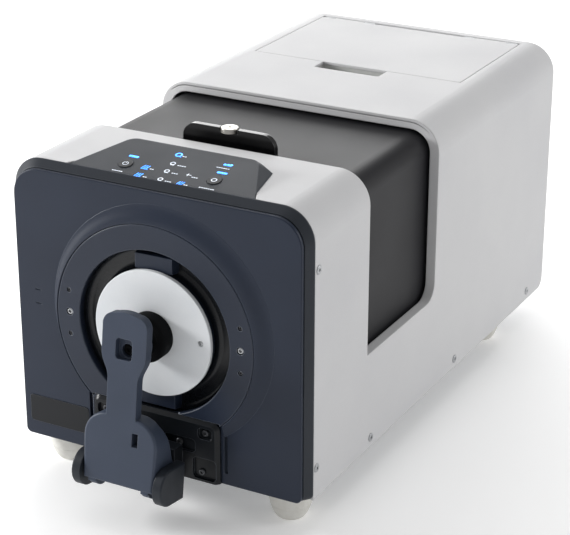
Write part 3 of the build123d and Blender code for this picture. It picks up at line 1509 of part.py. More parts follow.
with BuildPart() as accessory_tray:
    with BuildSketch(Plane.XY.offset(tray_rim_top)):
        with Locations((0, tray_front_y)):
            Rectangle(2 * tray_half + 14, tray_rear_y - tray_front_y, align=(Align.CENTER, Align.MIN))
    extrude(amount=-tray_rim)
    with BuildSketch(Plane.XY.offset(tray_rim_top - tray_rim)):
        with Locations((0, tray_front_y)):
            Rectangle(2 * tray_half, tray_rear_y - tray_front_y, align=(Align.CENTER, Align.MIN))
    extrude(amount=-(tray_depth - tray_rim))
    # scoop for the fingers, in front of the lid
    with BuildSketch(Plane.XY.offset(tray_rim_top)):
        with Locations((0, scoop_front_y)):
            Rectangle(slot_width + 2 * scoop_wall, tray_front_y - scoop_front_y,
                      align=(Align.CENTER, Align.MIN))
    extrude(amount=-(tray_rim_top - scoop_floor + scoop_wall))
    with BuildSketch(Plane.XY.offset(tray_rim_top)) as scoop:
        with Locations((0, slot_front_y)):
            Rectangle(slot_width, slot_length + 2 * lid_gap, align=(Align.CENTER, Align.MIN))
    extrude(amount=-(tray_rim_top - scoop_floor), mode=Mode.SUBTRACT)
    with BuildSketch(Plane.XY.offset(tray_rim_top)) as pocket:
        with Locations((0, tray_front_y + tray_wall)):
            Rectangle(2 * (tray_half - tray_wall), tray_rear_y - tray_front_y - 2 * tray_wall,
                      align=(Align.CENTER, Align.MIN))
        fillet(pocket.vertices(), 6)
    extrude(amount=-(tray_depth - tray_wall), mode=Mode.SUBTRACT)
    # ring that holds the calibration tile
    with BuildSketch(Plane.XY.offset(tray_floor)):
        with Locations((tile_offset, tray_middle_y)):
            Circle(tile_radius + tile_ring)
            Circle(tile_radius + screw_gap, mode=Mode.SUBTRACT)
    extrude(amount=tile_seat + tile_thickness + 1)
finish(accessory_tray, "accessory_tray")

with BuildPart() as calibration_tile:
    with BuildSketch(Plane.XY.offset(tray_floor)):
        with Locations((tile_offset, tray_middle_y)):
            Circle(tile_radius)
    extrude(amount=tile_seat + tile_thickness)
    fillet(calibration_tile.faces().sort_by(Axis.Z)[-1].edges(), 0.5)
finish(calibration_tile, "calibration_tile")

knuckle_margin = 28.8
lid_knuckle = 30.0
lip_inset = 8.0
lip_wall = 2.0
lip_depth = 5.0
lid_lip_front = 14.0
lid_lip_rear = 8.0
lip_length = lid_length - lid_lip_front - lid_lip_rear
knuckle_spots = (knuckle_margin - lid_width / 2, lid_width / 2 - knuckle_margin)
with BuildPart() as rear_lid:
    with BuildSketch(Plane.XY.offset(shell_top)) as lid_outline:
        with Locations((0, lid_front_y)):
            Rectangle(lid_width, lid_length, align=(Align.CENTER, Align.MIN))
        fillet(lid_outline.vertices().group_by(Axis.Y)[0], 2)
    extrude(amount=-shell_wall)
    with BuildSketch(Plane.XY.offset(shell_top - shell_wall)):
        with Locations((0, lid_front_y + lid_lip_front)):
            Rectangle(lid_width - 2 * lip_inset, lip_length, align=(Align.CENTER, Align.MIN))
        with Locations((0, lid_front_y + lid_lip_front + lip_wall)):
            Rectangle(lid_width - 2 * lip_inset - 2 * lip_wall, lip_length - 2 * lip_wall,
                      align=(Align.CENTER, Align.MIN), mode=Mode.SUBTRACT)
    extrude(amount=-lip_depth)
    for spot in knuckle_spots:
        with BuildSketch(Plane.YZ.offset(spot - lid_knuckle / 2)):
            with Locations((lid_axis_y, lid_axis_z)):
                Circle(lid_hinge_radius)
                Rectangle(4, lid_hinge_radius, align=(Align.MAX, Align.MIN))
        extrude(amount=lid_knuckle)
        with BuildSketch(Plane.YZ.offset(spot - lid_knuckle / 2)):
            with Locations((lid_axis_y, lid_axis_z)):
                Circle(lid_pin_radius + running_fit)
        extrude(amount=lid_knuckle, mode=Mode.SUBTRACT)
finish(rear_lid, "rear_lid")

leaf_knuckle = 12.0
leaf_thickness = 1.6
leaf_top = lid_axis_z - lid_hinge_radius - 0.4
leaf_front_y = tray_rear_y + 0.5
leaf_rear_y = rear_panel_y - seat_gap
with BuildPart() as lid_hinge_leaf:
    with BuildSketch(Plane.XY.offset(leaf_top)):
        with Locations((0, leaf_front_y)):
            Rectangle(lid_width, leaf_rear_y - leaf_front_y, align=(Align.CENTER, Align.MIN))
    extrude(amount=-leaf_thickness)
    # step up to the underside of the shell, behind the lid's hole
    with BuildSketch(Plane.XY.offset(leaf_top)):
        with Locations((0, lid_hole_rear_y + 0.2)):
            Rectangle(lid_width, leaf_rear_y - lid_hole_rear_y - 0.2, align=(Align.CENTER, Align.MIN))
    extrude(amount=shell_top - shell_wall - leaf_top)
    for spot in knuckle_spots:
        for side in (-1, 1):
            knuckle_x = spot + side * (lid_knuckle / 2 + 0.4 + leaf_knuckle / 2) - leaf_knuckle / 2
            with BuildSketch(Plane.YZ.offset(knuckle_x)):
                with Locations((lid_axis_y, lid_axis_z)):
                    Circle(lid_hinge_radius)
                    Rectangle(leaf_thickness, lid_axis_z - leaf_top, align=(Align.CENTER, Align.MAX))
            extrude(amount=leaf_knuckle)
            with BuildSketch(Plane.YZ.offset(knuckle_x)):
                with Locations((lid_axis_y, lid_axis_z)):
                    Circle(lid_pin_radius + running_fit)
            extrude(amount=leaf_knuckle, mode=Mode.SUBTRACT)
finish(lid_hinge_leaf, "lid_hinge_leaf")

with BuildPart() as lid_hinge_pins:
    for spot in knuckle_spots:
        with BuildSketch(Plane.YZ.offset(spot)):
            with Locations((lid_axis_y, lid_axis_z)):
                Circle(lid_pin_radius)
        extrude(amount=lid_knuckle / 2 + leaf_knuckle, both=True)
finish(lid_hinge_pins, "lid_hinge_pins")
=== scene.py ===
import bpy
import bmesh
import json
from math import cos, pi, radians, sin
from mathutils import Matrix, Vector


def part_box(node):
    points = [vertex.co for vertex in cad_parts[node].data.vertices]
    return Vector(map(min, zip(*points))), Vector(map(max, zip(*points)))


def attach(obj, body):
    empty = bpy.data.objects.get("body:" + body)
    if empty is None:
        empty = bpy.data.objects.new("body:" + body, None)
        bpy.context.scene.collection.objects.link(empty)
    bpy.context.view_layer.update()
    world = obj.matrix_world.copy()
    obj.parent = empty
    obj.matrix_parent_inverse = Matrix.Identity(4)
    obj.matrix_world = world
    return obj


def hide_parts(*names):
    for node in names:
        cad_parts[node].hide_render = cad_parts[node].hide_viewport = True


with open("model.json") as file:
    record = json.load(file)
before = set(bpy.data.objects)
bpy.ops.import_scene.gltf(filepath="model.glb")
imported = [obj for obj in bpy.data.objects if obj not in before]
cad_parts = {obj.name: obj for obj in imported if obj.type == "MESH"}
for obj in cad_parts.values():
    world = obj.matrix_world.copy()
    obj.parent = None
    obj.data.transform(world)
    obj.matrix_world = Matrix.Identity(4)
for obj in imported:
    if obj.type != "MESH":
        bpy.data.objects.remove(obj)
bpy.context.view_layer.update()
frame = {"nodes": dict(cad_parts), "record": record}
nodes = frame["nodes"]
slotOf = {row["node"]: row["material_slot"] for row in frame["record"]["subparts"]}
mm = 0.001
print("frame loaded:", len(nodes), "nodes")


def tint(code):
    # a colour as it looks on a screen, turned into the linear values that the shaders take
    shades = [int(code[i:i + 2], 16) / 255 for i in (0, 2, 4)]
    return [s / 12.92 if s < 0.04045 else ((s + 0.055) / 1.055) ** 2.4 for s in shades] + [1.0]


class Signal:
    # one output socket, so that values over a surface read as plain sums
    def __init__(self, finish, socket):
        self.finish = finish
        self.socket = socket

    def __add__(self, other):
        return self.finish.maths("ADD", self, other)

    def __radd__(self, other):
        return self.finish.maths("ADD", other, self)

    def __sub__(self, other):
        return self.finish.maths("SUBTRACT", self, other)

    def __rsub__(self, other):
        return self.finish.maths("SUBTRACT", other, self)

    def __mul__(self, other):
        return self.finish.maths("MULTIPLY", self, other)

    def __rmul__(self, other):
        return self.finish.maths("MULTIPLY", other, self)

    def above(self, edge):
        return self.finish.maths("GREATER_THAN", self, edge)

    def kept(self):
        # held between 0 and 1
        return self.finish.node("ShaderNodeClamp", None, {"Value": self})


class Finish:
    # one material, with its Principled shader and the object's own coordinates
    def __init__(self, name, glossy):
        self.material = bpy.data.materials.new(name)
        self.material.use_nodes = True
        self.tree = self.material.node_tree
        self.tree.nodes.clear()
        self.place = self.node("ShaderNodeTexCoord", None, None, "Object")
        self.shader = self.node("ShaderNodeBsdfPrincipled", None, glossy)
        self.node("ShaderNodeOutputMaterial", None, {"Surface": self.shader})

    def feed(self, socket, value):
        if isinstance(value, Signal):
            self.tree.links.new(value.socket, socket)
        else:
            socket.default_value = value

    def node(self, kind, settings=None, values=None, out=0):
        made = self.tree.nodes.new(kind)
        for key, value in (settings or {}).items():
            setattr(made, key, value)
        for key, value in (values or {}).items():
            self.feed(made.inputs[key], value)
        return Signal(self, made.outputs[out]) if made.outputs else made

    def set(self, **values):
        for key, value in values.items():
            self.feed(self.shader.socket.node.inputs[key.replace("_", " ")], value)

    def maths(self, operation, a, b):
        return self.node("ShaderNodeMath", {"operation": operation}, {0: a, 1: b})

    def mix(self, factor, a, b):
        # sockets 6 and 7 are the colours of a Mix node, and output 2 is its colour
        return self.node("ShaderNodeMix", {"data_type": "RGBA"}, {0: factor, 6: a, 7: b}, 2)

    def stretched(self, scale):
        return self.node("ShaderNodeMapping", None, {"Vector": self.place, "Scale": scale})

    def noise(self, size, detail=2.0, harsh=0.5, place=None):
        # size is the width of one blot, in millimetres
        return self.node("ShaderNodeTexNoise", None, {
            "Vector": place or self.place, "Scale": 1 / (size * mm), "Detail": detail, "Roughness": harsh})

    def cloud(self, *noise):
        # noise gathers round 0.5, and its middle part is spread over 0 to 1
        return self.node("ShaderNodeMapRange", None, {
            "Value": self.noise(*noise), "From Min": 0.3, "From Max": 0.7, "To Min": 0.0, "To Max": 1.0})

    def bump(self, height, depth, normal=None):
        # depth is the height of the texture, in millimetres
        values = {"Height": height, "Distance": depth * mm, "Strength": 1.0}
        if normal:
            values["Normal"] = normal
        return self.node("ShaderNodeBump", None, values)

    def rounded(self, radius):
        return self.node("ShaderNodeBevel", {"samples": 6}, {"Radius": radius * mm})

    def rim(self, radius, width):
        # 1 along the edges of a piece and 0 on its open faces
        flat = self.node("ShaderNodeNewGeometry", None, None, "True Normal")
        close = self.node("ShaderNodeVectorMath", {"operation": "DOT_PRODUCT"},
                          {0: self.rounded(radius), 1: flat}, "Value")
        return ((1 - close) * width).kept()


paintBase = {"gloss": 0.25, "coat": 0.0, "coatRough": 0.3, "speckle": 0.3, "roughSwing": 0.05,
             "rimWidth": 2.2, "fleckRough": 0.04, "edgeRough": 0.05}


def coated(name, look):
    # paint or moulded plastic: a fine grain, faint mottling, rounded edges with a painted highlight along
    # them
    look = {**paintBase, **look}
    finish = Finish(name, {"Specular IOR Level": look["gloss"], "Coat Roughness": look["coatRough"]})
    cloud = finish.cloud(look["cloudSize"], 3.0)
    speck = finish.cloud(look["grainSize"], 2.0, 0.6)
    colour = finish.mix(cloud, tint(look["colour"]), tint(look["shade"]))
    colour = finish.mix(speck * look["speckle"], colour, tint(look["fleck"]))
    rough = cloud * look["roughSwing"] + look["rough"]
    if "hollowShade" in look:
        # painted shade: deeper parts of the piece are darker, as shade falls there, and smoother, by their
        # depth behind the face
        hollowShade = look["hollowShade"]
        deep = finish.node("ShaderNodeMapRange", None, {
            "Value": finish.node("ShaderNodeSeparateXYZ", None, {0: finish.place}, "Y"),
            "From Min": hollowShade["from"] * mm, "From Max": hollowShade["to"] * mm})
        colour = finish.mix(deep, colour, tint(hollowShade["colour"]))
        rough = rough + deep * hollowShade["rough"]
    edge = finish.rim(look["edge"], look["rimWidth"])
    # painted highlight: the edges are lightened toward a paler colour, standing in for light caught on them
    colour = finish.mix(edge * look["paintedEdgeHighlight"], colour, tint(look["edgeHighlightColour"]))
    rough = rough + speck * look["fleckRough"] - edge * look["edgeRough"]
    normal = finish.bump(speck, look["grainDepth"], finish.rounded(look["edge"]))
    finish.set(Base_Color=colour, Roughness=rough, Normal=normal, Coat_Weight=look["coat"])
    return finish


metalBase = {"index": 2.2, "metallic": 1.0, "roughSwing": 0.14, "cloudSize": 18.0, "lineShare": 0.5,
             "cloudShare": 0.3, "cloudRough": 0.06}


def metal(name, look):
    # turned, brushed or plated metal, with fine lines along one direction
    look = {**metalBase, **look}
    finish = Finish(name, {"IOR": look["index"], "Metallic": look["metallic"]})
    line = finish.cloud(look["lineWidth"], 3.0, 0.6, finish.stretched(look["brush"]))
    cloud = finish.cloud(look["cloudSize"], 3.0)
    share = line * look["lineShare"] + cloud * look["cloudShare"]
    colour = finish.mix(share, tint(look["colour"]), tint(look["shade"]))
    rough = line * look["roughSwing"] + look["rough"] + cloud * look["cloudRough"]
    normal = finish.bump(line, look["lineDepth"], finish.rounded(look["edge"]))
    finish.set(Base_Color=colour, Roughness=rough, Normal=normal)
    return finish


# sizes are in millimetres, and what a paint doesn't name comes from paintBase
paintLooks = {
    "shell_paint": {
        "colour": "cacacb", "shade": "c5c5c7", "fleck": "d6d6d6", "edgeHighlightColour": "f2f2f2", "cloudSize": 90,
        "grainSize": 0.7, "grainDepth": 0.012, "speckle": 0.25, "rough": 0.45, "roughSwing": 0.06,
        "edge": 1.6, "paintedEdgeHighlight": 0.3, "gloss": 0.12},
    "panel_paint": {
        "colour": "1e2636", "shade": "1b2231", "fleck": "2c374a", "edgeHighlightColour": "7f8898", "cloudSize": 60,
        "grainSize": 0.55, "grainDepth": 0.012, "rough": 0.36, "edge": 0.8, "paintedEdgeHighlight": 0.5, "gloss": 0.27},
    "bezel_paint": {
        "colour": "2c3037", "shade": "292d33", "fleck": "3a3e45", "edgeHighlightColour": "7d838d", "cloudSize": 40,
        "grainSize": 0.5, "grainDepth": 0.015, "rough": 0.42, "roughSwing": 0.06, "edge": 1.2,
        "paintedEdgeHighlight": 0.55},
    "cover_paint": {
        "colour": "212124", "shade": "1e1e20", "fleck": "2e2e31", "edgeHighlightColour": "4f4f53", "cloudSize": 70,
        "grainSize": 0.9, "grainDepth": 0.022, "speckle": 0.4, "rough": 0.42, "edge": 1.0, "paintedEdgeHighlight": 0.3,
        "gloss": 0.15},
    "arm_paint": {
        "colour": "3c4454", "shade": "38404f", "fleck": "4b5465", "edgeHighlightColour": "8a93a1", "cloudSize": 35,
        "grainSize": 0.45, "grainDepth": 0.014, "rough": 0.4, "roughSwing": 0.06, "edge": 0.9,
        "paintedEdgeHighlight": 0.5},
    "mount_paint": {
        "colour": "0f1216", "shade": "0c0f13", "fleck": "1b1f25", "edgeHighlightColour": "7a818c", "cloudSize": 30,
        "grainSize": 0.45, "grainDepth": 0.014, "rough": 0.3, "roughSwing": 0.06, "edge": 0.7,
        "paintedEdgeHighlight": 0.65},
    "cap_plastic": {
        "colour": "262a31", "shade": "23272d", "fleck": "343941", "edgeHighlightColour": "6d737e", "cloudSize": 14,
        "grainSize": 0.5, "grainDepth": 0.01, "speckle": 0.25, "rough": 0.38, "edge": 0.8, "paintedEdgeHighlight": 0.4},
    "mask_white": {
        "colour": "e4e7ea", "shade": "dde1e5", "fleck": "f4f4f4", "edgeHighlightColour": "ffffff", "cloudSize": 30,
        "grainSize": 0.35, "grainDepth": 0.006, "speckle": 0.2, "rough": 0.38, "edge": 0.5, "paintedEdgeHighlight": 0.3},
    "pad_rubber": {
        "colour": "08090a", "shade": "0b0c0e", "fleck": "17181a", "edgeHighlightColour": "202225", "cloudSize": 8,
        "grainSize": 0.3, "grainDepth": 0.012, "rough": 0.7, "roughSwing": 0.1, "edge": 0.5, "paintedEdgeHighlight": 0.2,
        "gloss": 0.08},
    "foot_rubber": {
        "colour": "dcdbd6", "shade": "cfcdc6", "fleck": "ebe9e4", "edgeHighlightColour": "f0efec", "cloudSize": 9,
        "grainSize": 0.4, "grainDepth": 0.02, "rough": 0.6, "roughSwing": 0.1, "edge": 0.8, "paintedEdgeHighlight": 0.2},
    "button_plastic": {
        "colour": "1d1f23", "shade": "1a1c1f", "fleck": "2b2d31", "edgeHighlightColour": "4c5057", "cloudSize": 6,
        "grainSize": 0.3, "grainDepth": 0.006, "speckle": 0.2, "rough": 0.35, "edge": 0.4, "paintedEdgeHighlight": 0.4},
    "nameplate": {
        "colour": "14161a", "shade": "121418", "fleck": "1d2025", "edgeHighlightColour": "8a909a", "cloudSize": 20,
        "grainSize": 0.4, "grainDepth": 0.006, "speckle": 0.2, "rough": 0.3, "edge": 0.45, "paintedEdgeHighlight": 0.9},
    "rear_paint": {
        "colour": "c9cacc", "shade": "c3c4c6", "fleck": "d8d8d9", "edgeHighlightColour": "e8e8e8", "cloudSize": 60,
        "grainSize": 0.7, "grainDepth": 0.015, "rough": 0.45, "roughSwing": 0.06, "edge": 0.6,
        "paintedEdgeHighlight": 0.3},
    "inlet_plastic": {
        "colour": "17181a", "shade": "141517", "fleck": "242527", "edgeHighlightColour": "3d3e41", "cloudSize": 10,
        "grainSize": 0.35, "grainDepth": 0.012, "rough": 0.45, "edge": 0.4, "paintedEdgeHighlight": 0.3},
    "tray_plastic": {
        "colour": "b9bab8", "shade": "b2b3b1", "fleck": "c9cac8", "edgeHighlightColour": "dadad8", "cloudSize": 40,
        "grainSize": 0.6, "grainDepth": 0.015, "rough": 0.5, "roughSwing": 0.06, "edge": 0.5,
        "paintedEdgeHighlight": 0.2},
    "chamber_black": {
        "colour": "131315", "shade": "101012", "fleck": "1f1f21", "edgeHighlightColour": "2c2c2e", "cloudSize": 50,
        "grainSize": 0.8, "grainDepth": 0.03, "speckle": 0.4, "rough": 0.75, "roughSwing": 0.08, "edge": 0.5,
        "paintedEdgeHighlight": 0.2},
    "rail_plastic": {
        "colour": "232427", "shade": "1f2023", "fleck": "303134", "edgeHighlightColour": "505257", "cloudSize": 20,
        "grainSize": 0.5, "grainDepth": 0.012, "rough": 0.45, "edge": 0.4, "paintedEdgeHighlight": 0.3},
    "tile_ceramic": {
        "colour": "f1f1ee", "shade": "ebebe7", "fleck": "ffffff", "edgeHighlightColour": "ffffff", "cloudSize": 25,
        "grainSize": 0.4, "grainDepth": 0.003, "speckle": 0.15, "rough": 0.2, "edge": 0.5, "paintedEdgeHighlight": 0.2,
        "coat": 0.5}}
metalLooks = {
    "knob_metal": {"colour": "d2cfc8", "shade": "b9b6af", "brush": (1, 1, 12), "lineWidth": 1.2,
                   "lineDepth": 0.006, "rough": 0.24, "edge": 0.35},
    "screw_steel": {"colour": "b4b6b8", "shade": "97999c", "brush": (3, 3, 3), "lineWidth": 0.9,
                    "lineDepth": 0.006, "rough": 0.28, "edge": 0.2},
    "screw_black": {"colour": "5b5d61", "shade": "3b3c3f", "brush": (3, 3, 3), "lineWidth": 0.9,
                    "lineDepth": 0.006, "rough": 0.3, "edge": 0.2, "metallic": 0.9},
    "base_steel": {"colour": "a4a7aa", "shade": "8e9194", "brush": (1, 14, 1), "lineWidth": 3.0,
                   "lineDepth": 0.01, "rough": 0.38, "edge": 0.4},
    "sphere_metal": {"colour": "c9cbcc", "shade": "b3b5b7", "brush": (1, 10, 1), "lineWidth": 1.6,
                     "lineDepth": 0.008, "rough": 0.34, "edge": 0.4},
    "supply_metal": {"colour": "b7b9ba", "shade": "a0a2a4", "brush": (10, 1, 1), "lineWidth": 2.4,
                     "lineDepth": 0.008, "rough": 0.36, "roughSwing": 0.12, "edge": 0.4},
    "port_metal": {"colour": "c2c4c6", "shade": "a9abad", "brush": (8, 1, 1), "lineWidth": 1.2,
                   "lineDepth": 0.005, "rough": 0.26, "roughSwing": 0.12, "edge": 0.2}}
finishes = {name: coated(name, look) for name, look in paintLooks.items()}
finishes.update({name: metal(name, look) for name, look in metalLooks.items()})
handleFinish = coated("handleGloss", {
    "colour": "070708", "shade": "09090a", "fleck": "111112", "edgeHighlightColour": "84878c", "cloudSize": 20,
    "grainSize": 0.4, "grainDepth": 0.003, "speckle": 0.2, "rough": 0.14, "edge": 0.9, "paintedEdgeHighlight": 0.6,
    "gloss": 0.5})
print("paints and metals ready:", len(finishes))

glassLooks = {
    "lens_glass": {"colour": "eef6f4", "shade": "b9d8d2", "share": 0.3, "cloudSize": 6.0, "index": 1.52,
                   "clear": 1.0, "rough": 0.03, "roughSwing": 0.02, "depth": 0.002},
    "lamp_glass": {"colour": "f2f4f6", "shade": "cfd6dc", "share": 0.4, "cloudSize": 4.0, "index": 1.46,
                   "clear": 0.85, "rough": 0.06, "roughSwing": 0.08, "depth": 0.004}}
for name, look in glassLooks.items():
    glass = Finish(name, {"IOR": look["index"], "Transmission Weight": look["clear"]})
    cloud = glass.cloud(look["cloudSize"])
    glass.set(Base_Color=glass.mix(cloud * look["share"], tint(look["colour"]), tint(look["shade"])),
              Roughness=cloud * look["roughSwing"] + look["rough"], Normal=glass.bump(cloud, look["depth"]))
    finishes[name] = glass

# a ruled mirror, whose lines carry two faint tints
gratingLook = {"pitch": 1.2, "cool": "b8c6d8", "warm": "d9c9d8", "rough": 0.08, "roughSwing": 0.08,
               "depth": 0.004}
grating = Finish("grating_mirror", {"Metallic": 1.0})
ruled = grating.node("ShaderNodeTexWave", {"bands_direction": "X"}, {
    "Vector": grating.place, "Scale": 1 / (gratingLook["pitch"] * mm) / 6.28, "Distortion": 0.2}, "Fac")
grating.set(Base_Color=grating.mix(ruled, tint(gratingLook["cool"]), tint(gratingLook["warm"])),
            Roughness=ruled * gratingLook["roughSwing"] + gratingLook["rough"],
            Normal=grating.bump(ruled, gratingLook["depth"]))
finishes["grating_mirror"] = grating

# a circuit board: copper tracks under green lacquer, with bright solder dots
boardLook = {"green": "1f5a38", "trace": "2f7a4e", "pad": "c8b25a", "grid": 6.0, "track": 0.06,
             "dotPitch": 3.2, "dotSize": 0.22, "rough": 0.42, "dotRough": 0.15, "dotMetal": 0.8,
             "depth": 0.03, "edge": 0.3}
board = Finish("board_green", {"IOR": 1.5, "Coat Weight": 0.3})
cells = board.node("ShaderNodeTexBrick", {"offset": 0.5}, {
    "Vector": board.place, "Scale": 1 / (boardLook["grid"] * mm), "Color1": (0, 0, 0, 1),
    "Color2": (0.2, 0.2, 0.2, 1), "Mortar": (1, 1, 1, 1), "Mortar Size": boardLook["track"]}, "Fac")
dots = board.node("ShaderNodeTexVoronoi", None, {
    "Vector": board.place, "Scale": 1 / (boardLook["dotPitch"] * mm)}, "Distance")
solder = 1 - dots.above(boardLook["dotSize"])
lacquer = board.mix(cells, tint(boardLook["green"]), tint(boardLook["trace"]))
board.set(Base_Color=board.mix(solder, lacquer, tint(boardLook["pad"])),
          Roughness=boardLook["rough"] - solder * boardLook["dotRough"],
          Metallic=solder * boardLook["dotMetal"],
          Normal=board.bump(cells + solder, boardLook["depth"], board.rounded(boardLook["edge"])))
finishes["board_green"] = board

# a shrunk sleeve with a pale stripe at even steps along the capacitor
sleeveLook = {"blue": "23364f", "stripe": "c9ced6", "period": 30.0, "bare": 0.9, "wrinkle": 7.0,
              "rough": 0.25, "roughSwing": 0.2, "depth": 0.06, "edge": 0.8}
sleeve = Finish("capacitor_sleeve", {"IOR": 1.5})
along = sleeve.node("ShaderNodeSeparateXYZ", None, {0: sleeve.place}, "X")
period = sleeveLook["period"] * mm
stripe = sleeve.maths("PINGPONG", along, period).above(period * sleeveLook["bare"])
wrinkle = sleeve.noise(sleeveLook["wrinkle"], 3.0)
sleeve.set(Base_Color=sleeve.mix(stripe, tint(sleeveLook["blue"]), tint(sleeveLook["stripe"])),
           Roughness=wrinkle * sleeveLook["roughSwing"] + sleeveLook["rough"],
           Normal=sleeve.bump(wrinkle, sleeveLook["depth"], sleeve.rounded(sleeveLook["edge"])))
finishes["capacitor_sleeve"] = sleeve


def glowing(name, look):
    # lit marks, and printed marks given a painted glow
    finish = Finish(name, {"Roughness": look["rough"], "Emission Strength": look["strength"]})
    tone = finish.mix(finish.cloud(look["cloudSize"]), tint(look["colour"]), tint(look["shade"]))
    finish.set(Base_Color=tone, Emission_Color=tone)
    return finish


finishes["light_blue"] = glowing("light_blue", {
    "colour": "1c6dff", "shade": "49a4ff", "cloudSize": 2.4, "rough": 0.3, "strength": 3.0})
# painted light: the white print glows faintly to look brighter, though print gives no light
glowingWhiteMarks = glowing("glowingWhiteMarks", {
    "colour": "e6ecf4", "shade": "c8d2e0", "cloudSize": 3.0, "rough": 0.4, "strength": 0.55})
print("all finishes ready:", len(finishes))

for name, node in nodes.items():
    node.data.materials.clear()
    node.data.materials.append(finishes[slotOf[name]].material)
nodes["cover_handle"].data.materials[0] = handleFinish.material

weldGap = {"own": 2e-6, "cad": 3e-6}  # metres: closer points than these are one


def newPiece(name, mesh, body, slot, stands=(), finish=None):
    mesh.materials.clear()
    mesh.materials.append((finish or finishes[slot]).material)
    piece = bpy.data.objects.new(name, mesh)
    bpy.context.scene.collection.objects.link(piece)
    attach(piece, body)
    if stands:
        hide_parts(*stands)
    return piece


def smoothMesh(name, work, sharpAngle):
    # keeps only the real edges sharp
    mesh = bpy.data.meshes.new(name)
    work.to_mesh(mesh)
    work.free()
    mesh.shade_smooth()
    mesh.set_sharp_from_angle(angle=radians(sharpAngle))
    return mesh


def closeMesh(name, work, sharpAngle=32.0):
    # merges doubles and points the faces outwards
    bmesh.ops.remove_doubles(work, verts=work.verts, dist=weldGap["own"])
    bmesh.ops.recalc_face_normals(work, faces=work.faces)
    return smoothMesh(name, work, sharpAngle)


def turned(work, outline, origin, axis, steps=64):
    # turns an outline of (radius, height) pairs, in millimetres, about an axis
    turn = Vector((0, 0, 1)).rotation_difference(Vector(axis)).to_matrix().to_4x4()
    placing = Matrix.Translation(Vector(origin) * mm) @ turn
    rings = []
    for radius, height in outline:
        angles = [2 * pi * i / steps for i in range(steps)] if radius else [0]
        rings.append([work.verts.new(placing @ Vector((
            radius * mm * cos(angle), radius * mm * sin(angle), height * mm))) for angle in angles])
    for low, high in zip(rings, rings[1:]):
        for i in range(steps):
            j = (i + 1) % steps
            corners = [low[i % len(low)], low[j % len(low)], high[j % len(high)], high[i % len(high)]]
            corners = list(dict.fromkeys(corners))
            if len(corners) > 2:
                work.faces.new(corners)


def arcPoints(centre, radius, start, end, steps):
    angles = [radians(start + (end - start) * i / steps) for i in range(steps + 1)]
    return [(centre[0] + radius * cos(angle), centre[1] + radius * sin(angle)) for angle in angles]


class Recipe:
    # one Geometry Nodes tree with named inputs
    def __init__(self, name, sizes):
        self.tree = bpy.data.node_groups.new(name, "GeometryNodeTree")
        face = self.tree.interface
        face.new_socket("Geometry", in_out="INPUT", socket_type="NodeSocketGeometry")
        for label, (kind, value) in sizes.items():
            socket = face.new_socket(label, in_out="INPUT", socket_type="NodeSocket" + kind)
            if value is not None:
                socket.default_value = value
        face.new_socket("Geometry", in_out="OUTPUT", socket_type="NodeSocketGeometry")
        self.entry = self.tree.nodes.new("NodeGroupInput")
        self.exit = self.tree.nodes.new("NodeGroupOutput")

    def given(self, label):
        return self.entry.outputs[label]

    def add(self, kind, settings=None, values=None):
        made = self.tree.nodes.new(kind)
        for key, value in (settings or {}).items():
            setattr(made, key, value)
        for key, value in (values or {}).items():
            for one in value if isinstance(value, list) else [value]:
                if isinstance(one, bpy.types.NodeSocket):
                    self.tree.links.new(one, made.inputs[key])
                else:
                    made.inputs[key].default_value = one
        return made

    def times(self, a, b):
        return self.add("ShaderNodeMath", {"operation": "MULTIPLY"}, {0: a, 1: b}).outputs[0]

    def vector(self, **parts):
        return self.add("ShaderNodeCombineXYZ", None, parts).outputs[0]

    def scaled(self, vector, scale):
        return self.add("ShaderNodeVectorMath", {"operation": "SCALE"}, {
            "Vector": vector, "Scale": scale}).outputs[0]

    def moved(self, geometry, **change):
        return self.add("GeometryNodeTransform", None, {"Geometry": geometry, **change}).outputs[0]

    def without(self, solid, cutters):
        return self.add("GeometryNodeMeshBoolean", {"operation": "DIFFERENCE", "solver": "EXACT"}, {
            "Mesh 1": solid, "Mesh 2": cutters}).outputs[0]

    def finishWith(self, geometry, sharpAngle):
        real = self.add("GeometryNodeRealizeInstances", None, {"Geometry": geometry})
        angle = self.add("GeometryNodeInputMeshEdgeAngle")
        smooth = self.add("FunctionNodeCompare", {"operation": "LESS_THAN"},
                          {"A": angle.outputs[0], "B": radians(sharpAngle)})
        faces = self.add("GeometryNodeSetShadeSmooth", {"domain": "FACE"}, {"Geometry": real.outputs[0]})
        edges = self.add("GeometryNodeSetShadeSmooth", {"domain": "EDGE"},
                         {"Geometry": faces.outputs[0], "Shade Smooth": smooth.outputs[0]})
        painted = self.add("GeometryNodeSetMaterial", None,
                           {"Geometry": edges.outputs[0], "Material": self.given("Finish")})
        self.tree.links.new(painted.outputs[0], self.exit.inputs[0])


def grown(recipe, start, values, name, body, slot, stands=(), finish=None):
    # runs a recipe on a start mesh and keeps the result as a plain piece
    carrier = bpy.data.objects.new(name + "Start", start)
    bpy.context.scene.collection.objects.link(carrier)
    modifier = carrier.modifiers.new("recipe", "NODES")
    modifier.node_group = recipe.tree
    faceItems = recipe.tree.interface.items_tree
    sockets = {item.name: item.identifier for item in faceItems if item.in_out == "INPUT"}
    for label, value in {**values, "Finish": (finish or finishes[slot]).material}.items():
        modifier[sockets[label]] = value
    bpy.context.view_layer.update()
    ready = carrier.evaluated_get(bpy.context.evaluated_depsgraph_get())
    mesh = bpy.data.meshes.new_from_object(ready)
    bpy.data.objects.remove(carrier)
    mesh.name = name
    return newPiece(name, mesh, body, slot, stands, finish)


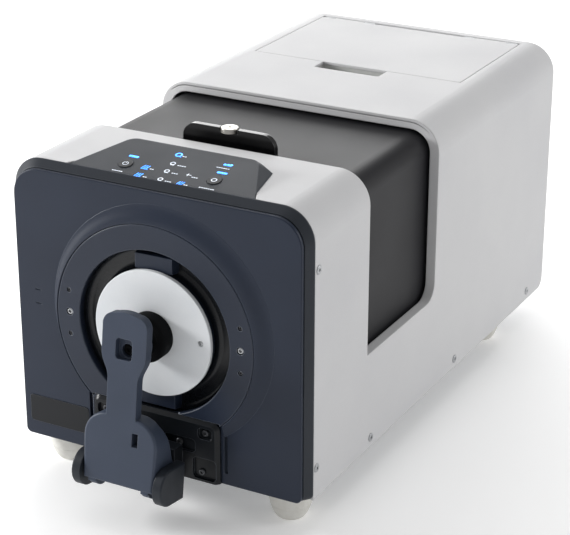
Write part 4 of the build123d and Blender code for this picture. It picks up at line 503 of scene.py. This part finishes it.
def spotMesh(name, spots):
    # spots are (x, y, z, facing) in millimetres
    mesh = bpy.data.meshes.new(name)
    mesh.from_pydata([Vector(spot[:3]) * mm for spot in spots], [], [])
    facing = mesh.attributes.new("facing", "FLOAT_VECTOR", "POINT")
    facing.data.foreach_set("vector", [part for spot in spots for part in spot[3]])
    return mesh


# the head rises in steps of (share of its height, width against the step below)
headLook = {"sides": 32, "steps": ((0.45, 1.0), (0.25, 0.97), (0.2, 0.9), (0.1, 0.8)), "crossSlot": 0.34,
            "turn": 6.28, "sharpAngle": 28.0}


def screwRecipe(name, recess):
    recipe = Recipe(name, {
        "Head radius": ("Float", 3.7 * mm), "Head height": ("Float", 1.0 * mm),
        "Recess size": ("Float", 1.6 * mm), "Recess depth": ("Float", 0.8 * mm),
        "Seed": ("Int", 4), "Finish": ("Material", None)})
    disc = recipe.add("GeometryNodeMeshCircle", {"fill_type": "NGON"}, {
        "Vertices": headLook["sides"], "Radius": recipe.given("Head radius")})
    under = recipe.add("GeometryNodeFlipFaces", None, {"Mesh": disc.outputs[0]})
    solid, top = disc.outputs[0], None
    for rise, narrow in headLook["steps"]:
        lift = recipe.vector(Z=recipe.times(recipe.given("Head height"), rise))
        values = {"Mesh": solid, "Offset": lift, "Offset Scale": 1.0, "Individual": False}
        if top is not None:
            values["Selection"] = top
        raised = recipe.add("GeometryNodeExtrudeMesh", {"mode": "FACES"}, values)
        drawn = recipe.add("GeometryNodeScaleElements", {"domain": "FACE"}, {
            "Geometry": raised.outputs["Mesh"], "Selection": raised.outputs["Top"], "Scale": narrow})
        solid, top = drawn.outputs[0], raised.outputs["Top"]
    joined = recipe.add("GeometryNodeJoinGeometry", None, {"Geometry": [solid, under.outputs[0]]})
    whole = recipe.add("GeometryNodeMergeByDistance", None, {
        "Geometry": joined.outputs[0], "Distance": 1e-6})
    size, deep = recipe.given("Recess size"), recipe.times(recipe.given("Recess depth"), 2.0)
    if recess == "cross":
        slim = recipe.times(size, headLook["crossSlot"])
        cutters = [recipe.add("GeometryNodeMeshCube", None, {"Size": recipe.vector(X=x, Y=y, Z=deep)})
                   for x, y in ((size, slim), (slim, size))]
    else:
        cutters = [recipe.add("GeometryNodeMeshCylinder", None, {
            "Vertices": 6, "Radius": recipe.times(size, 0.5), "Depth": deep})]
    seat = recipe.vector(Z=recipe.given("Head height"))
    lifted = [recipe.moved(cutter.outputs[0], Translation=seat) for cutter in cutters]
    cut = recipe.without(whole.outputs[0], lifted)
    facing = recipe.add("GeometryNodeInputNamedAttribute", {"data_type": "FLOAT_VECTOR"}, {"Name": "facing"})
    aimed = recipe.add("FunctionNodeAlignRotationToVector", {"axis": "Z"}, {"Vector": facing.outputs[0]})
    chance = recipe.add("FunctionNodeRandomValue", {"data_type": "FLOAT"}, {
        "Min": 0.0, "Max": headLook["turn"], "Seed": recipe.given("Seed")})
    twist = recipe.add("FunctionNodeAxisAngleToRotation", None, {"Angle": chance.outputs["Value"]})
    twisted = recipe.add("FunctionNodeRotateRotation", {"rotation_space": "LOCAL"}, {
        "Rotation": aimed.outputs[0], "Rotate By": twist.outputs[0]})
    placed = recipe.add("GeometryNodeInstanceOnPoints", None, {
        "Points": recipe.given("Geometry"), "Instance": cut, "Rotation": twisted.outputs[0]})
    recipe.finishWith(placed.outputs[0], headLook["sharpAngle"])
    return recipe


crossRecipe = screwRecipe("crossScrew", "cross")
hexRecipe = screwRecipe("socketScrew", "hex")


def screws(recipe, name, spots, look, body, slot, stands=()):
    grown(recipe, spotMesh(name + "Spots", spots), {
        "Head radius": look["headRadius"] * mm, "Head height": look["headHeight"] * mm,
        "Recess size": look["recess"] * mm, "Recess depth": look["depth"] * mm, "Seed": look["seed"]},
        name, body, slot, stands)


shoulderRise = 3.0  # of the front panel's shoulder, in front of its face
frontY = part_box("front_panel")[0].y / mm + shoulderRise
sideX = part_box("outer_shell")[1].x / mm
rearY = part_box("rear_panel")[1].y / mm
portZ = 149.0

caseScrewLook = {"headRadius": 3.7, "headHeight": 0.98, "recess": 3.0, "depth": 0.75, "seed": 7,
                 "sideSpots": [(16.6, 223.0), (15.6, 56.0), (112.5, 37.9), (284.2, 37.9), (458.7, 37.9)],
                 "rearX": 124.0, "rearHeights": (44.0, 140.0, 240.0)}
caseSpots = [(side * sideX, frontY + reach, height, (side, 0, 0))
             for side in (-1, 1) for reach, height in caseScrewLook["sideSpots"]]
caseSpots += [(side * caseScrewLook["rearX"], rearY, height, (0, 1, 0))
              for side in (-1, 1) for height in caseScrewLook["rearHeights"]]
screws(crossRecipe, "caseScrews", caseSpots, caseScrewLook, "housing", "screw_steel", ["case_screws"])

mountScrewLook = {"headRadius": 2.95, "headHeight": 1.75, "recess": 2.9, "depth": 1.1, "seed": 5,
                  "proud": 2.4, "spots": [(22.5, 59.5), (46.5, 72.5), (43.0, 37.0)]}
mountSpots = [(side * x, frontY - mountScrewLook["proud"], z, (0, -1, 0))
              for side in (-1, 1) for x, z in mountScrewLook["spots"]]
screws(hexRecipe, "mountScrews", mountSpots, mountScrewLook, "housing", "screw_black", ["arm_mount_screws"])

ringScrewLook = {"headRadius": 3.15, "headHeight": 4.5, "recess": 3.2, "depth": 1.6, "seed": 3, "hole": 3.3,
                 "rises": (2.0,)}
setScrewLook = {"headRadius": 1.95, "headHeight": 4.3, "recess": 2.0, "depth": 1.4, "seed": 2, "hole": 2.1,
                "rises": (21.0, -17.0)}
ringScrewOffset = 78.5
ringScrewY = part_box("port_ring_screws")[1].y / mm
ringSpots, setSpots = ([(side * ringScrewOffset, ringScrewY, portZ + rise, (0, -1, 0))
                        for side in (-1, 1) for rise in look["rises"]]
                       for look in (ringScrewLook, setScrewLook))
screws(hexRecipe, "ringScrews", ringSpots, ringScrewLook, "housing", "screw_steel")
screws(hexRecipe, "setScrews", setSpots, setScrewLook, "housing", "screw_black", ["port_ring_screws"])

maskScrewLook = {"headRadius": 2.25, "headHeight": 1.45, "recess": 2.2, "depth": 0.9, "seed": 9,
                 "offset": 44.0, "rise": 1.0, "seat": 0.02}
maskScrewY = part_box("mask_screws")[1].y / mm - maskScrewLook["seat"]
maskSpots = [(side * maskScrewLook["offset"], maskScrewY, portZ + maskScrewLook["rise"], (0, -1, 0))
             for side in (-1, 1)]
screws(crossRecipe, "maskScrews", maskSpots, maskScrewLook, "mask", "screw_steel", ["mask_screws"])
print("screws set")

# heights are in front of the panel, and the flat is the field of the arm's mount
ringLook = {"proud": 3.0, "inner": 40.0, "innerBevel": 0.3, "boss": 52.5, "bossFace": 0.5, "bossBevel": 0.5,
            "trough": 69.0, "floor": -9.0, "curve": 5.0, "curveSteps": 8, "rim": 90.2, "flange": 104.5,
            "back": -13.0, "bevel": 0.9, "bevelShort": 0.3, "bevelLong": 0.35, "pitch": 70.0, "steps": 192,
            "flatTop": 83.3, "flatWidth": 118.6, "holeDepth": 10.0}


def ringProfile():
    # (radius, height in front of the panel), from the boss over the trough to the flange
    look = ringLook
    inner, outer, floor, curve, steps = (look[key] for key in (
        "boss", "trough", "floor", "curve", "curveSteps"))
    proud, rim, bevel, face = (look[key] for key in ("proud", "rim", "bevel", "bossFace"))
    near, far = bevel * look["bevelShort"], bevel * look["bevelLong"]
    line = [(look["inner"], face - look["innerBevel"]), (look["inner"] + look["innerBevel"], face),
            (inner - look["bossBevel"], face), (inner, face - look["bossBevel"])]
    line += arcPoints((inner + curve, floor + curve), curve, 180, 270, steps)
    line += arcPoints((outer - curve, floor + curve), curve, 270, 360, steps)
    line += [(outer, proud - bevel), (outer + far, proud - near), (outer + bevel, proud),
             (rim - bevel, proud), (rim - near, proud - far), (rim, proud - bevel)]
    return line + [(rim, floor), (look["flange"], floor), (look["flange"], look["back"]),
                   (look["inner"], look["back"])]


def profileMesh(name, line):
    # a closed loop of edges, as (radius, -height), which Curve to Mesh turns round
    mesh = bpy.data.meshes.new(name)
    count = len(line)
    loop = [(i, (i + 1) % count) for i in range(count)]
    mesh.from_pydata([(radius * mm, -height * mm, 0) for radius, height in line], loop, [])
    return mesh


def ringRecipe():
    # turns a profile round, moves its outer part sideways, and cuts screw holes and a flat
    recipe = Recipe("turnedRing", {
        "Pitch radius": ("Float", 50 * mm), "Steps": ("Int", 96), "Place": ("Vector", None),
        "Screw radius": ("Float", 3.2 * mm), "Set screw radius": ("Float", 2.0 * mm),
        "Hole depth": ("Float", 10 * mm), "Flat size": ("Vector", None), "Flat place": ("Vector", None),
        "Shift": ("Vector", None), "Shift from": ("Float", 1.0), "Shift to": ("Float", 2.0),
        "Screw spots": ("Object", None), "Set screw spots": ("Object", None), "Finish": ("Material", None)})
    upright = (pi / 2, 0.0, 0.0)
    pitch = recipe.given("Pitch radius")
    outline = recipe.add("GeometryNodeMeshToCurve", None, {"Mesh": recipe.given("Geometry")})
    centred = recipe.moved(outline.outputs[0], Translation=recipe.vector(X=recipe.times(pitch, -1.0)))
    path = recipe.add("GeometryNodeCurvePrimitiveCircle", None, {
        "Resolution": recipe.given("Steps"), "Radius": pitch})
    swept = recipe.add("GeometryNodeCurveToMesh", None, {"Curve": path.outputs[0], "Profile Curve": centred})
    spot = recipe.add("GeometryNodeInputPosition")
    flat = recipe.add("ShaderNodeVectorMath", {"operation": "MULTIPLY"}, {
        0: spot.outputs[0], 1: (1.0, 1.0, 0.0)})
    radius = recipe.add("ShaderNodeVectorMath", {"operation": "LENGTH"}, {0: flat.outputs[0]})
    share = recipe.add("ShaderNodeMapRange", None, {
        "Value": radius.outputs["Value"], "From Min": recipe.given("Shift from"),
        "From Max": recipe.given("Shift to")})
    shifted = recipe.add("GeometryNodeSetPosition", None, {
        "Geometry": swept.outputs[0], "Offset": recipe.scaled(recipe.given("Shift"), share.outputs[0])})
    stood = recipe.moved(shifted.outputs[0], Rotation=upright, Translation=recipe.given("Place"))
    cutters = []
    for spots, size in (("Screw spots", "Screw radius"), ("Set screw spots", "Set screw radius")):
        drill = recipe.add("GeometryNodeMeshCylinder", None, {
            "Vertices": 40, "Radius": recipe.given(size), "Depth": recipe.given("Hole depth")})
        found = recipe.add("GeometryNodeObjectInfo", None, {"Object": recipe.given(spots)})
        drills = recipe.add("GeometryNodeInstanceOnPoints", None, {
            "Points": found.outputs["Geometry"],
            "Instance": recipe.moved(drill.outputs[0], Rotation=upright)})
        real = recipe.add("GeometryNodeRealizeInstances", None, {"Geometry": drills.outputs[0]})
        cutters.append(real.outputs[0])
    block = recipe.add("GeometryNodeMeshCube", None, {"Size": recipe.given("Flat size")})
    cutters.append(recipe.moved(block.outputs[0], Translation=recipe.given("Flat place")))
    recipe.finishWith(recipe.without(stood, cutters), 24.0)
    return recipe


def spotObject(name, spots):
    # spots brought to the ring's face
    faced = [(x, frontY - ringLook["proud"], z, facing) for x, y, z, facing in spots]
    holder = bpy.data.objects.new(name, spotMesh(name, faced))
    bpy.context.scene.collection.objects.link(holder)
    return holder


turnedRing = ringRecipe()
screwHoles = spotObject("screwHoles", ringSpots)
setScrewHoles = spotObject("setScrewHoles", setSpots)
# the ring's paint, with painted shade darkening its trough behind the face
ringPaint = coated("ringPaint", {
    **paintLooks["panel_paint"], "edge": 0.6, "paintedEdgeHighlight": 1.0, "edgeHighlightColour": "c9d1dd", "gloss": 0.32,
    "hollowShade": {"from": frontY - 1.0, "to": frontY + 4.0, "colour": "0e1116", "rough": -0.14}})
portRing = grown(turnedRing, profileMesh("ringProfile", ringProfile()), {
    "Pitch radius": ringLook["pitch"] * mm, "Steps": ringLook["steps"],
    "Place": (0.0, frontY * mm, portZ * mm),
    "Screw radius": ringScrewLook["hole"] * mm, "Set screw radius": setScrewLook["hole"] * mm,
    "Hole depth": ringLook["holeDepth"] * mm,
    "Flat size": (ringLook["flatWidth"] * mm, 2 * ringLook["proud"] * mm, ringLook["flatTop"] * mm),
    "Flat place": (0.0, (frontY - ringLook["proud"]) * mm, ringLook["flatTop"] / 2 * mm),
    "Screw spots": screwHoles, "Set screw spots": setScrewHoles},
    "portRing", "housing", "panel_paint", ["port_ring"], ringPaint)


def frontPlate():
    # a copy of the front panel without its own shoulder, because the skirt below is a finer one
    work = bmesh.new()
    work.from_mesh(nodes["front_panel"].data)
    bmesh.ops.remove_doubles(work, verts=work.verts, dist=weldGap["cad"])
    for vert in work.verts:
        vert.co.y = max(vert.co.y, frontY * mm)
    mesh = smoothMesh("frontPlateMesh", work, 25.0)
    for face in mesh.polygons:
        face.use_smooth = abs(face.normal.y) < 0.9999
    newPiece("frontPlate", mesh, "housing", "panel_paint", ["front_panel"])


frontPlate()

# the foot circle lies off the port's centre by the shift
skirtLook = {"rim": 90.45, "crest": 3.0, "foot": 100.8, "shift": (6.2, 6.4), "bevel": 0.35, "ease": 1.5,
             "easeSteps": 24, "footHeight": 0.03, "sunk": -0.4, "pitch": 98.0, "steps": 192, "fieldTop": 85.2,
             "fieldWidth": 123.6, "fieldDepth": 12.0, "shiftStart": 0.4, "drill": 1.0}


def skirtProfile():
    # a soft shoulder: level beside the ring, steepest halfway, level with the panel at its foot
    look = skirtLook
    crest, start = look["crest"], look["rim"] + look["bevel"]
    line = [(look["rim"], look["sunk"]), (look["rim"], crest - look["bevel"]), (start, crest)]
    for i in range(look["easeSteps"]):
        t = (i + 1) / look["easeSteps"]
        fall = t ** look["ease"] / (t ** look["ease"] + (1 - t) ** look["ease"])
        line.append((start + (look["foot"] - start) * t, crest * (1 - fall) + look["footHeight"]))
    return line + [(look["foot"], look["sunk"])]


grown(turnedRing, profileMesh("skirtProfile", skirtProfile()), {
    "Pitch radius": skirtLook["pitch"] * mm, "Steps": skirtLook["steps"],
    "Place": (0.0, frontY * mm, portZ * mm),
    "Screw radius": skirtLook["drill"] * mm, "Set screw radius": skirtLook["drill"] * mm,
    "Hole depth": skirtLook["drill"] * mm,
    "Flat size": (skirtLook["fieldWidth"] * mm, skirtLook["fieldDepth"] * mm, 2 * skirtLook["fieldTop"] * mm),
    "Flat place": (0.0, frontY * mm, 0.0), "Screw spots": screwHoles, "Set screw spots": setScrewHoles,
    "Shift": tuple(part * mm for part in skirtLook["shift"]) + (0.0,),
    "Shift from": (skirtLook["rim"] + skirtLook["shiftStart"]) * mm, "Shift to": skirtLook["foot"] * mm},
    "panelSkirt", "housing", "panel_paint")
for holder in (screwHoles, setScrewHoles):
    bpy.data.objects.remove(holder)
print("port ring turned:", len(portRing.data.polygons), "faces")

# each curve is (step past its radius, height): the sole's from the ground, the top's from the top
footLook = {"radius": 18.0, "height": 29.0, "sole": 11.9, "bore": 5.6, "boreDepth": 10.0, "boreBevel": 0.6,
            "screwBore": 2.35, "steps": 56,
            "soleCurve": ((-1.2, 0), (-0.3, 0.3), (0.3, 1.0), (2.0, 3.6), (3.4, 6.6), (4.4, 9.4)),
            "bodyCurve": ((-1.2, 11.2), (-1.35, 11.6), (-1.0, 12.1), (-0.4, 15.5), (0.1, 19.5), (0.35, 23.5)),
            "topCurve": ((0.2, -0.9), (-0.4, 0))}


def foot(node):
    look = footLook
    low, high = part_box(node)
    centre = ((low.x + high.x) / 2 / mm, (low.y + high.y) / 2 / mm, 0)
    wall = [(look["sole"] + out, rise) for out, rise in look["soleCurve"]]
    wall += [(look["radius"] + out, rise) for out, rise in look["bodyCurve"]]
    wall += [(look["radius"] + out, look["height"] + rise) for out, rise in look["topCurve"]]
    hole = [(look["screwBore"], look["height"]), (look["screwBore"], look["boreDepth"]),
            (look["bore"], look["boreDepth"]), (look["bore"], look["boreBevel"]),
            (look["bore"] + look["boreBevel"], 0)]
    work = bmesh.new()
    turned(work, wall + hole + wall[:1], centre, (0, 0, 1), look["steps"])
    camel = "".join(word.capitalize() for word in node.split("_"))
    newPiece("rubber" + camel, closeMesh(node + "Mesh", work), "housing", "foot_rubber", [node])


for corner in ("front_left", "front_right", "rear_left", "rear_right"):
    foot("foot_" + corner)
print("feet turned")

# the pad is turned from its back to the tip of its stem: the groove and the seam are (from the edge, half
# width, depth), the dish is (inner radius, outer radius, depth) and the socket (radius, depth)
padLook = {"radius": 19.5, "thickness": 13.7, "rounding": 2.4, "groove": (4.2, 0.4, 0.25),
           "backCurve": ((0.6, 0), (0.15, 0.2), (0, 0.7)), "seam": (2.75, 0.25, 0.25),
           "dish": (7.0, 12.8, 0.3), "dishSlopes": (0.6, 0.4), "stem": 5.2, "stemFoot": 0.4, "stemCap": 4.2,
           "capReach": 2.2, "capBevel": 0.3, "socket": (1.4, 1.4), "socketBevel": 0.1, "steps": 96}


def padOutline(reach):
    look = padLook
    r, t, curve, bevel, stem, cap = (look[key] for key in (
        "radius", "thickness", "rounding", "capBevel", "stem", "stemCap"))
    groove, grooveHalf, grooveDeep = look["groove"]
    seam, seamHalf, seamDeep = look["seam"]
    dishIn, dishOut, dishDeep = look["dish"]
    slopeIn, slopeOut = look["dishSlopes"]
    socket, socketDeep = look["socket"]
    line = [(0, 0), (r - groove - grooveHalf, 0), (r - groove, grooveDeep), (r - groove + grooveHalf, 0)]
    line += [(r - inset, rise) for inset, rise in look["backCurve"]]
    line += [(r, t - seam - seamHalf), (r - seamDeep, t - seam), (r, t - seam + seamHalf)]
    line += arcPoints((r - curve, t - curve), curve, 0, 90, 8)[1:]
    line += [(dishOut + slopeOut, t), (dishOut, t - dishDeep), (dishIn, t - dishDeep), (dishIn - slopeIn, t)]
    line += [(stem, t + look["stemFoot"]), (stem, reach - look["capReach"] - bevel),
             (stem - bevel, reach - look["capReach"]), (cap, reach - look["capReach"]), (cap, reach - bevel),
             (cap - bevel, reach)]
    return line + [(socket + look["socketBevel"], reach), (socket, reach - socketDeep),
                   (0, reach - socketDeep - look["socketBevel"])]


padLow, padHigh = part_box("sample_pad")
work = bmesh.new()
padReach = (padHigh.y - padLow.y) / mm
turned(work, padOutline(padReach), (0, padHigh.y / mm, portZ), (0, -1, 0), padLook["steps"])
newPiece("rubberPad", closeMesh("rubberPadMesh", work), "pad", "pad_rubber", ["sample_pad"])
print("pad turned")

wedge = {"front": 11.1, "height": 270.8, "tilt": 10.6}
tilt = radians(wedge["tilt"])
slope = Matrix(((1, 0, 0), (0, cos(tilt), -sin(tilt)), (0, sin(tilt), cos(tilt))))
markLook = {"lift": 0.12, "thick": 0.1, "wordHeight": 0.95, "dash": 1.5, "dashGap": 0.45}


def onWedge(x, along, up):
    flat = Vector((x, along, up))
    return (slope @ flat + Vector((0, frontY + wedge["front"], wedge["height"]))) * mm


def rowOf(reach):
    # how far up the slope a row lies, from its reach behind the panel's face
    return (reach - wedge["front"]) / cos(tilt)


def flatPatch(work, outline, lift):
    # a thin printed or lit patch, with the outline given on the panel in millimetres
    low = [work.verts.new(onWedge(x, v, lift - markLook["thick"])) for x, v in outline]
    high = [work.verts.new(onWedge(x, v, lift)) for x, v in outline]
    work.faces.new(high)
    work.faces.new(list(reversed(low)))
    for i in range(len(outline)):
        j = (i + 1) % len(outline)
        work.faces.new((low[i], low[j], high[j], high[i]))


def ringPatch(work, x, v, outer, inner, start=0, end=360, steps=28, lift=markLook["lift"]):
    outside = arcPoints((x, v), outer, start, end, steps)
    inside = arcPoints((x, v), inner, start, end, steps)
    for i in range(steps):
        flatPatch(work, [outside[i], outside[i + 1], inside[i + 1], inside[i]], lift)


def barPatch(work, x, v, width, height, lift=markLook["lift"]):
    w, h = width / 2, height / 2
    flatPatch(work, [(x - w, v - h), (x + w, v - h), (x + w, v + h), (x - w, v + h)], lift)


def rayPatch(work, x, v, size, lift=markLook["lift"]):
    # three slanting strokes over a bar, a common sign for filtered light
    pitch, half = size * 0.42, size * 0.5
    for shift in (-1.0, 0.0, 1.0):
        flatPatch(work, [(x + (shift - 0.55) * pitch, v - half), (x + (shift - 0.2) * pitch, v - half),
                         (x + (shift + 0.45) * pitch, v + half), (x + (shift + 0.1) * pitch, v + half)], lift)
    barPatch(work, x, v - size * 0.62, size * 1.25, size * 0.14)


def wordPatch(work, x, v, width):
    # a plain dashed bar in the place of a word
    dash, pitch = markLook["dash"], markLook["dash"] + markLook["dashGap"]
    for i in range(int(width / pitch)):
        barPatch(work, x + pitch * (i + 0.5), v, dash, markLook["wordHeight"])


# places are (x, reach behind the panel's face), followed by a size where it differs
litLook = {"ring": (-7.1, 52.8), "ringSize": (3.0, 1.9), "tail": (-5.4, 50.4), "tailSize": (3.4, 0.8),
           "rays": ((-21.8, 27.6, 4.8), (-20.8, 15.5, 4.8), (17.4, 14.8, 4.4)), "dots": (38.2, 51.4),
           "dotPitch": 2.6, "dotLean": 0.15, "dotRadius": 1.25, "underline": (38.2, 50.2),
           "underlineSize": (6.4, 0.7)}
litWork = bmesh.new()
x, reach = litLook["ring"]
ringPatch(litWork, x, rowOf(reach), *litLook["ringSize"])
x, reach = litLook["tail"]
barPatch(litWork, x, rowOf(reach), *litLook["tailSize"])
for x, reach, size in litLook["rays"]:
    rayPatch(litWork, x, rowOf(reach), size)
x, reach = litLook["dots"]
for shift in (-litLook["dotPitch"], 0.0, litLook["dotPitch"]):
    lean = shift * litLook["dotLean"]
    ringPatch(litWork, x + shift, rowOf(reach) + lean, litLook["dotRadius"], 0.0, steps=14)
x, reach = litLook["underline"]
barPatch(litWork, x, rowOf(reach), *litLook["underlineSize"])
newPiece("litMarks", closeMesh("litMarksMesh", litWork), "housing", "light_blue")

printLook = {"rings": ((-4.4, 39.4), (-2.7, 27.5), (-1.0, 15.0)), "ringSize": (2.3, 1.45),
             "tail": (0.6, -2.4), "tailSize": (3.4, 0.6),
             "words": ((-3.2, 51.4, 5.6), (0.4, 37.8, 7.8), (2.2, 26.0, 6.6), (3.6, 13.6, 6.4),
                       (-17.6, 26.0, 4.4), (-16.4, 13.8, 5.4), (20.2, 25.6, 6.6), (20.4, 13.4, 5.8),
                       (-45.4, 15.2, 11.0), (33.6, 14.2, 14.4), (31.0, 45.6, 12.6)),
             "arrow": ((17.0, 27.7, 4.4, 0.6), (16.0, 27.7, 0.6, 3.6))}
printWork = bmesh.new()
for x, reach in printLook["rings"]:
    ringPatch(printWork, x, rowOf(reach), *printLook["ringSize"])
    tailX, tailRise = printLook["tail"]
    barPatch(printWork, x + tailX, rowOf(reach) + tailRise, *printLook["tailSize"])
for x, reach, width in printLook["words"]:
    wordPatch(printWork, x, rowOf(reach), width)
for x, reach, width, height in printLook["arrow"]:
    barPatch(printWork, x, rowOf(reach), width, height)
newPiece("printedMarks", closeMesh("printedMarksMesh", printWork), "housing", "mask_white",
         finish=glowingWhiteMarks)

# the marks on the two buttons ride on them, just above their caps
buttonLook = {"row": 15.8, "offset": 40.0, "lift": 0.71, "outer": 2.5, "powerInner": 1.95,
              "powerArc": (120, 420), "powerSteps": 26, "strokeRise": 1.7, "stroke": (0.55, 2.2),
              "measureInner": 1.7}
row, offset, lift, outer = (buttonLook[key] for key in ("row", "offset", "lift", "outer"))
powerWork = bmesh.new()
ringPatch(powerWork, -offset, row, outer, buttonLook["powerInner"], *buttonLook["powerArc"],
          buttonLook["powerSteps"], lift)
barPatch(powerWork, -offset, row + buttonLook["strokeRise"], *buttonLook["stroke"], lift)
newPiece("powerMark", closeMesh("powerMarkMesh", powerWork), "button_left", "mask_white",
         finish=glowingWhiteMarks)
measureWork = bmesh.new()
ringPatch(measureWork, offset, row, outer, buttonLook["measureInner"], lift=lift)
newPiece("measureMark", closeMesh("measureMarkMesh", measureWork), "button_right", "mask_white",
         finish=glowingWhiteMarks)
print("panel marks laid")

# place in millimetres, angles in degrees: yaw from straight in front, pitch downwards
cameraLook = {"place": (729.8, -1358.7, 768.5), "yaw": 28.30, "pitch": 22.69, "roll": 0.122, "lens": 119.42,
              "sensor": 36.0, "sight": 50.0}
yaw, pitch, roll = (radians(cameraLook[key]) for key in ("yaw", "pitch", "roll"))
back = Vector((sin(yaw) * cos(pitch), -cos(yaw) * cos(pitch), sin(pitch)))
right = Vector((cos(yaw), sin(yaw), 0))
upward = back.cross(right)
level = right * cos(roll) + upward * sin(roll)
upward = upward * cos(roll) - right * sin(roll)
cameraData = bpy.data.cameras.new("camera")
cameraData.lens = cameraLook["lens"]
cameraData.sensor_width = cameraLook["sensor"]
cameraData.clip_end = cameraLook["sight"]
camera = bpy.data.objects.new("camera", cameraData)
turn = Matrix((level, upward, back)).transposed().to_4x4()
camera.matrix_world = Matrix.Translation(Vector(cameraLook["place"]) * mm) @ turn
bpy.context.scene.collection.objects.link(camera)
bpy.context.scene.camera = camera

floorLook = {"half": 9.0, "colour": "fbfbfb", "rough": 0.85, "lift": 0.2}
half = floorLook["half"]
floorCorners = [(-half, -half, 0), (half, -half, 0), (half, half, 0), (-half, half, 0)]
floorMesh = bpy.data.meshes.new("floorMesh")
floorMesh.from_pydata(floorCorners, [], [(0, 1, 2, 3)])
floor = bpy.data.objects.new("floor", floorMesh)
bpy.context.scene.collection.objects.link(floor)
floorFinish = Finish("floorFinish", {
    "Roughness": floorLook["rough"], "Base Color": tint(floorLook["colour"]),
    "Emission Color": tint(floorLook["colour"]), "Emission Strength": floorLook["lift"]})
floorMesh.materials.append(floorFinish.material)

# metres and watts
lightSet = {
    "overhead": {"place": (-0.2, 0.7, 2.4), "aim": (0, 0.2, 0.1), "size": 2.6, "power": 16},
    "keyLeft": {"place": (-1.3, -0.6, 0.62), "aim": (0, -0.15, 0.15), "size": 0.4, "power": 19},
    "backPanel": {"place": (-1.3, 2.4, 1.2), "aim": (0, 0.0, 0.25), "size": 2.2, "power": 42},
    "sideRight": {"place": (2.0, 1.2, 0.9), "aim": (0, 0.1, 0.15), "size": 1.2, "power": 15}}
for name, look in lightSet.items():
    lamp = bpy.data.lights.new(name, "AREA")
    lamp.shape = "DISK"
    lamp.size = look["size"]
    lamp.energy = look["power"]
    holder = bpy.data.objects.new(name, lamp)
    holder.location = look["place"]
    away = Vector(look["place"]) - Vector(look["aim"])
    holder.rotation_euler = away.to_track_quat("Z", "Y").to_euler()
    bpy.context.scene.collection.objects.link(holder)

worldLook = {"colour": "ffffff", "strength": 0.4}
world = bpy.data.worlds.new("studio")
world.use_nodes = True
sky = world.node_tree.nodes["Background"]
sky.inputs["Color"].default_value = tint(worldLook["colour"])
sky.inputs["Strength"].default_value = worldLook["strength"]
bpy.context.scene.world = world
bpy.context.scene.view_settings.view_transform = "Standard"
print("camera, floor and light ready")

bpy.context.view_layer.update()
